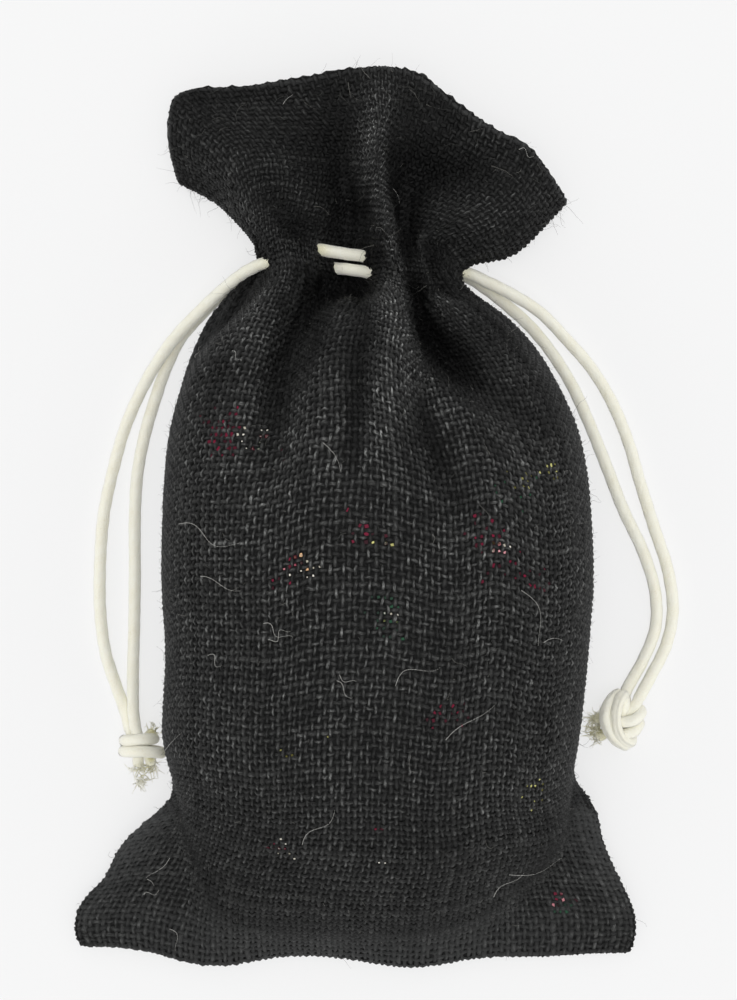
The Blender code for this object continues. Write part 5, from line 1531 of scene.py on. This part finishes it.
def weighted(tree, a, b, share):
    """The mean of two values, of which `share` is the first."""
    first = math_node(tree, "MULTIPLY", a, share)
    return math_node(tree, "ADD", first, math_node(tree, "MULTIPLY", b, 1 - share))


def ramp(tree, source, stops):
    made = node(tree, "ValToRGB")
    elements = made.color_ramp.elements
    while len(elements) < len(stops):
        elements.new(0.5)
    for element, (place, colour) in zip(elements, stops):
        element.position = place
        element.color = (*colour, 1)
    tree.links.new(source, made.inputs[0])
    return made.outputs[0]


def mixed(tree, share, colour, other):
    """Two colours mixed by a share; the second may be the same all over."""
    made = node(tree, "Mix", data_type="RGBA")
    tree.links.new(share, made.inputs["Factor"])
    tree.links.new(colour, made.inputs["A"])
    if isinstance(other, tuple):
        made.inputs["B"].default_value = (*other, 1)
    else:
        tree.links.new(other, made.inputs["B"])
    return next(socket for socket in made.outputs if socket.type == "RGBA")


def noise(tree, vector, scale, detail=4.0, rough=0.6):
    made = node(tree, "TexNoise")
    for key, value in (("Scale", scale), ("Detail", detail), ("Roughness", rough)):
        made.inputs[key].default_value = value
    tree.links.new(vector, made.inputs["Vector"])
    return made.outputs["Fac"]


def solid_noise(tree, scale, detail, rough=0.6):
    return noise(tree, node(tree, "TexCoord").outputs["Object"], scale, detail, rough)


def yarn_coordinates(tree, run_scale, across_scale, twist=0.0):
    """Coordinates that run along a yarn, so that noise read there is drawn out into fibres."""
    run = attribute(tree, "run")
    across = math_node(tree, "MULTIPLY", attribute(tree, "across"), across_scale)
    made = node(tree, "CombineXYZ")
    tree.links.new(math_node(tree, "MULTIPLY", run, run_scale), made.inputs[0])
    across = math_node(tree, "ADD", across, math_node(tree, "MULTIPLY", run, twist))
    tree.links.new(across, made.inputs[1])
    return made.outputs[0]


def bump(tree, shader, height, distance):
    made = node(tree, "Bump")
    made.inputs["Strength"].default_value = 1.0
    made.inputs["Distance"].default_value = distance
    tree.links.new(height, made.inputs["Height"])
    tree.links.new(made.outputs[0], shader.inputs["Normal"])


def yarn_material():
    """Black dyed jute: coarse fibres drawn along the yarn, a few of them paler. Over them lie
    painted highlights on the yarns' tops, a paler painted sheen and painted shade in the folds.
    """
    made, tree, shader = material("hessian_yarn", grey(0.008), 0.42, Specular_IOR_Level=0.14)
    fibres = noise(tree, yarn_coordinates(tree, 0.6, 2.6, 0.5), 1.0, 5.0, 0.7)
    # Painted highlights: pale strokes on the yarns' tops, broken up in patches.
    shine = noise(tree, yarn_coordinates(tree, 1.2, 3.2, 0.4), 1.0, 2.0, 0.6)
    shine = ramp(tree, shine, ((0.40, grey(0.12)), (0.55, grey(1))))
    patches = ramp(tree, solid_noise(tree, 360.0, 2.0, 0.5), ((0.38, grey(0.3)), (0.60, grey(1.3))))
    highlight_strength = math_node(tree, "MULTIPLY", attribute(tree, "painted_highlight"), patches)
    highlight_strength = math_node(tree, "MULTIPLY", highlight_strength, shine)
    colour = ramp(tree, weighted(tree, fibres, attribute(tree, "tone"), 0.7), JUTE_TONES)
    colour = mixed(tree, highlight_strength, colour, HIGHLIGHT_COLOUR)
    # painted sheen: a smooth paler grey
    colour = mixed(tree, attribute(tree, "painted_sheen"), colour, SHEEN_GREY)
    # painted shade deep in the folds
    paint(tree, shader, mixed(tree, attribute(tree, "painted_shade"), colour, FOLD_SHADE_COLOUR))
    rough = math_node(tree, "ADD", math_node(tree, "MULTIPLY", fibres, -0.5), 0.68)
    tree.links.new(rough, shader.inputs["Roughness"])
    bump(tree, shader, fibres, YARN_BUMP)
    return made


def core_material():
    """The inside of the weave: near black, with a fine grain."""
    made, tree, shader = material("hessian_core", grey(0.004), 0.9, Specular_IOR_Level=0.15)
    grain = solid_noise(tree, 900.0, 3.0)
    paint(tree, shader, ramp(tree, grain, ((0.3, grey(0.009)), (0.7, grey(0.020)))))
    bump(tree, shader, grain, FINE_BUMP)
    return made


def fuzz_material():
    """Jute fibres, most of them black and a few pale."""
    made, tree, shader = material("jute_fuzz", grey(0.03), 0.5, Specular_IOR_Level=0.5)
    paint(tree, shader, ramp(tree, attribute(tree, "tone"), FUZZ_TONES))
    return made


def cotton_material():
    """Unbleached cotton: soft fibres that wind round the cord, stains on the knots' frayed ends,
    and painted shade in the stain colour in the knots and where the cords go into the gathers.
    """
    made, tree, shader = material(
        "cotton_cord", (0.8, 0.78, 0.68), 0.9,
        Specular_IOR_Level=0.25, Sheen_Weight=1.0, Sheen_Roughness=0.38,
    )
    where = yarn_coordinates(tree, 0.9, 1.5)
    fibres = noise(tree, where, 2.4, 5.0, 0.7)
    clean = ramp(tree, weighted(tree, fibres, noise(tree, where, 0.18, 2.0), 0.6), COTTON_TONES)
    stain_and_shade_colour = ramp(tree, fibres, STAIN_AND_SHADE_TONES)
    # stains, and painted shade in the same colour
    paint(tree, shader, mixed(tree, attribute(tree, "stain_and_shade"), clean, stain_and_shade_colour))
    bump(tree, shader, fibres, FINE_BUMP)
    return made


def plain(name, colour, roughness, grain=0.15, **sockets):
    """A small part's material, with a little unevenness in its colour."""
    made, tree, shader = material(name, colour, roughness, **sockets)
    dark = tuple(c * (1 - grain) for c in colour)
    light = tuple(min(1.0, c * (1 + grain)) for c in colour)
    paint(tree, shader, ramp(tree, solid_noise(tree, 700.0, 2.0), ((0.35, dark), (0.65, light))))
    return made


def filling(name, dull, vivid):
    """One colour of the filling: by a random tone, most bits are painted dull, as shade deep in
    their holes, and a few vivid, as painted light.
    """
    made, tree, shader = material(name, dull, 0.5, Specular_IOR_Level=0.15)
    paint(tree, shader, ramp(tree, attribute(tree, "tone"), ((0.25, dull), (0.95, vivid))))
    return made


# --- the stage ---

CLIP_NEAR = 0.01  # metres
CLIP_FAR = 20
TENT_COLOUR = (1.0, 1.0, 1.0)
TENT_STRENGTH = 0.82
KEY_STRENGTH = 0.82
KEY_ANGLE = 40
KEY_FROM = (0.02, -0.08, 1.0)
FLOOR_SIZE = 6.0  # metres
FLOOR_COLOUR = (0.24, 0.241, 0.242)
FLOOR_GRAIN = 0.004
FLOOR_GLOW = 0.67  # the white sheet is lit from behind too


def look_down(cloth):
    """The camera straight above, its frame as tall on the base plane as PICTURE_TALL."""
    data = bpy.data.cameras.new("camera")
    data.sensor_fit = "AUTO"
    data.sensor_width = FRAME_SENSOR
    data.lens = FRAME_SENSOR * CAMERA_HEIGHT / PICTURE_TALL
    data.clip_start, data.clip_end = CLIP_NEAR, CLIP_FAR
    camera = bpy.data.objects.new("camera", data)
    camera.location = (cloth.shift[0] * MM, cloth.shift[1] * MM, CAMERA_HEIGHT * MM)
    bpy.context.scene.collection.objects.link(camera)
    bpy.context.scene.camera = camera


def light_stage():
    """White light from all round, a soft key from above, and the white sheet."""
    scene = bpy.context.scene
    scene.view_settings.view_transform = "Standard"
    world = bpy.data.worlds.new("white_tent")
    world.use_nodes = True
    background = world.node_tree.nodes["Background"]
    background.inputs["Color"].default_value = (*TENT_COLOUR, 1)
    background.inputs["Strength"].default_value = TENT_STRENGTH
    scene.world = world
    data = bpy.data.lights.new("key", "SUN")
    data.energy = KEY_STRENGTH
    data.angle = math.radians(KEY_ANGLE)
    key = bpy.data.objects.new("key", data)
    key.rotation_euler = Vector(KEY_FROM).to_track_quat("Z", "Y").to_euler()
    scene.collection.objects.link(key)
    bpy.ops.mesh.primitive_plane_add(size=FLOOR_SIZE)
    floor = bpy.context.object
    floor.name = "floor"
    floor.data.materials.append(plain(
        "floor_white", FLOOR_COLOUR, 0.9, FLOOR_GRAIN, Specular_IOR_Level=0.2,
        Emission_Color=(1, 1, 1, 1), Emission_Strength=FLOOR_GLOW,
    ))


# --- putting it together ---

CORDS_SEED = 11
WEAVE_SEED = 21  # and one more for each further layer
HAIRS_SEED = 31


def stand_for(piece, part):
    """The piece stands for a part of the frame, which is hidden, and rides on the body."""
    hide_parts(part)
    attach(piece, BODY)


def make_cords(cloth):
    """Both knots, the stretches held in the gathers, and the free strands."""
    cotton = cotton_material()
    rng = np.random.default_rng(CORDS_SEED)
    knots = {}
    for name in KNOTS:
        knots[name] = make_knot(name, cloth, cotton, rng)
        stand_for(knots[name], name)
    for side, held in (("left", LEFT_HELD), ("right", RIGHT_HELD)):
        outer, inner = (FREE_STRANDS[f"drawcord_{side}_{which}"] for which in ("outer", "inner"))
        name = f"drawcord_{side}_neck"
        route = (outer[0], *held, inner[0])
        piece, _ = make_cord(name + "_cord", route, cloth, cotton, rng)
        stand_for(piece, name)
    for name, route in FREE_STRANDS.items():
        piece, path = make_cord(name + "_cord", route, cloth, cotton, rng)
        stand_for(piece, name)


def make_cloth(cloth):
    """The core, the weave over it, and the hairs and the filling that show on it."""
    core = make_core(cloth, core_material())
    stand_for(core, "sack")
    pieces = []
    jute = yarn_material()
    for layer, name in enumerate(("front", "back")):
        rng = np.random.default_rng(WEAVE_SEED + layer)
        pieces += weave_layer(cloth, layer, name, jute, rng)
    rng = np.random.default_rng(HAIRS_SEED)
    fuzz = fuzz_material()
    pieces += [make_fuzz(cloth, rng, fuzz, *row) for row in FUZZ]
    tree = core_tree(core)
    pieces.append(make_lint(cloth, tree, rng))
    pieces += make_glints(cloth, tree, rng)
    for piece in pieces:
        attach(piece, BODY)


def main():
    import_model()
    cloth = Cloth()
    look_down(cloth)
    light_stage()
    make_cords(cloth)
    make_cloth(cloth)


main()
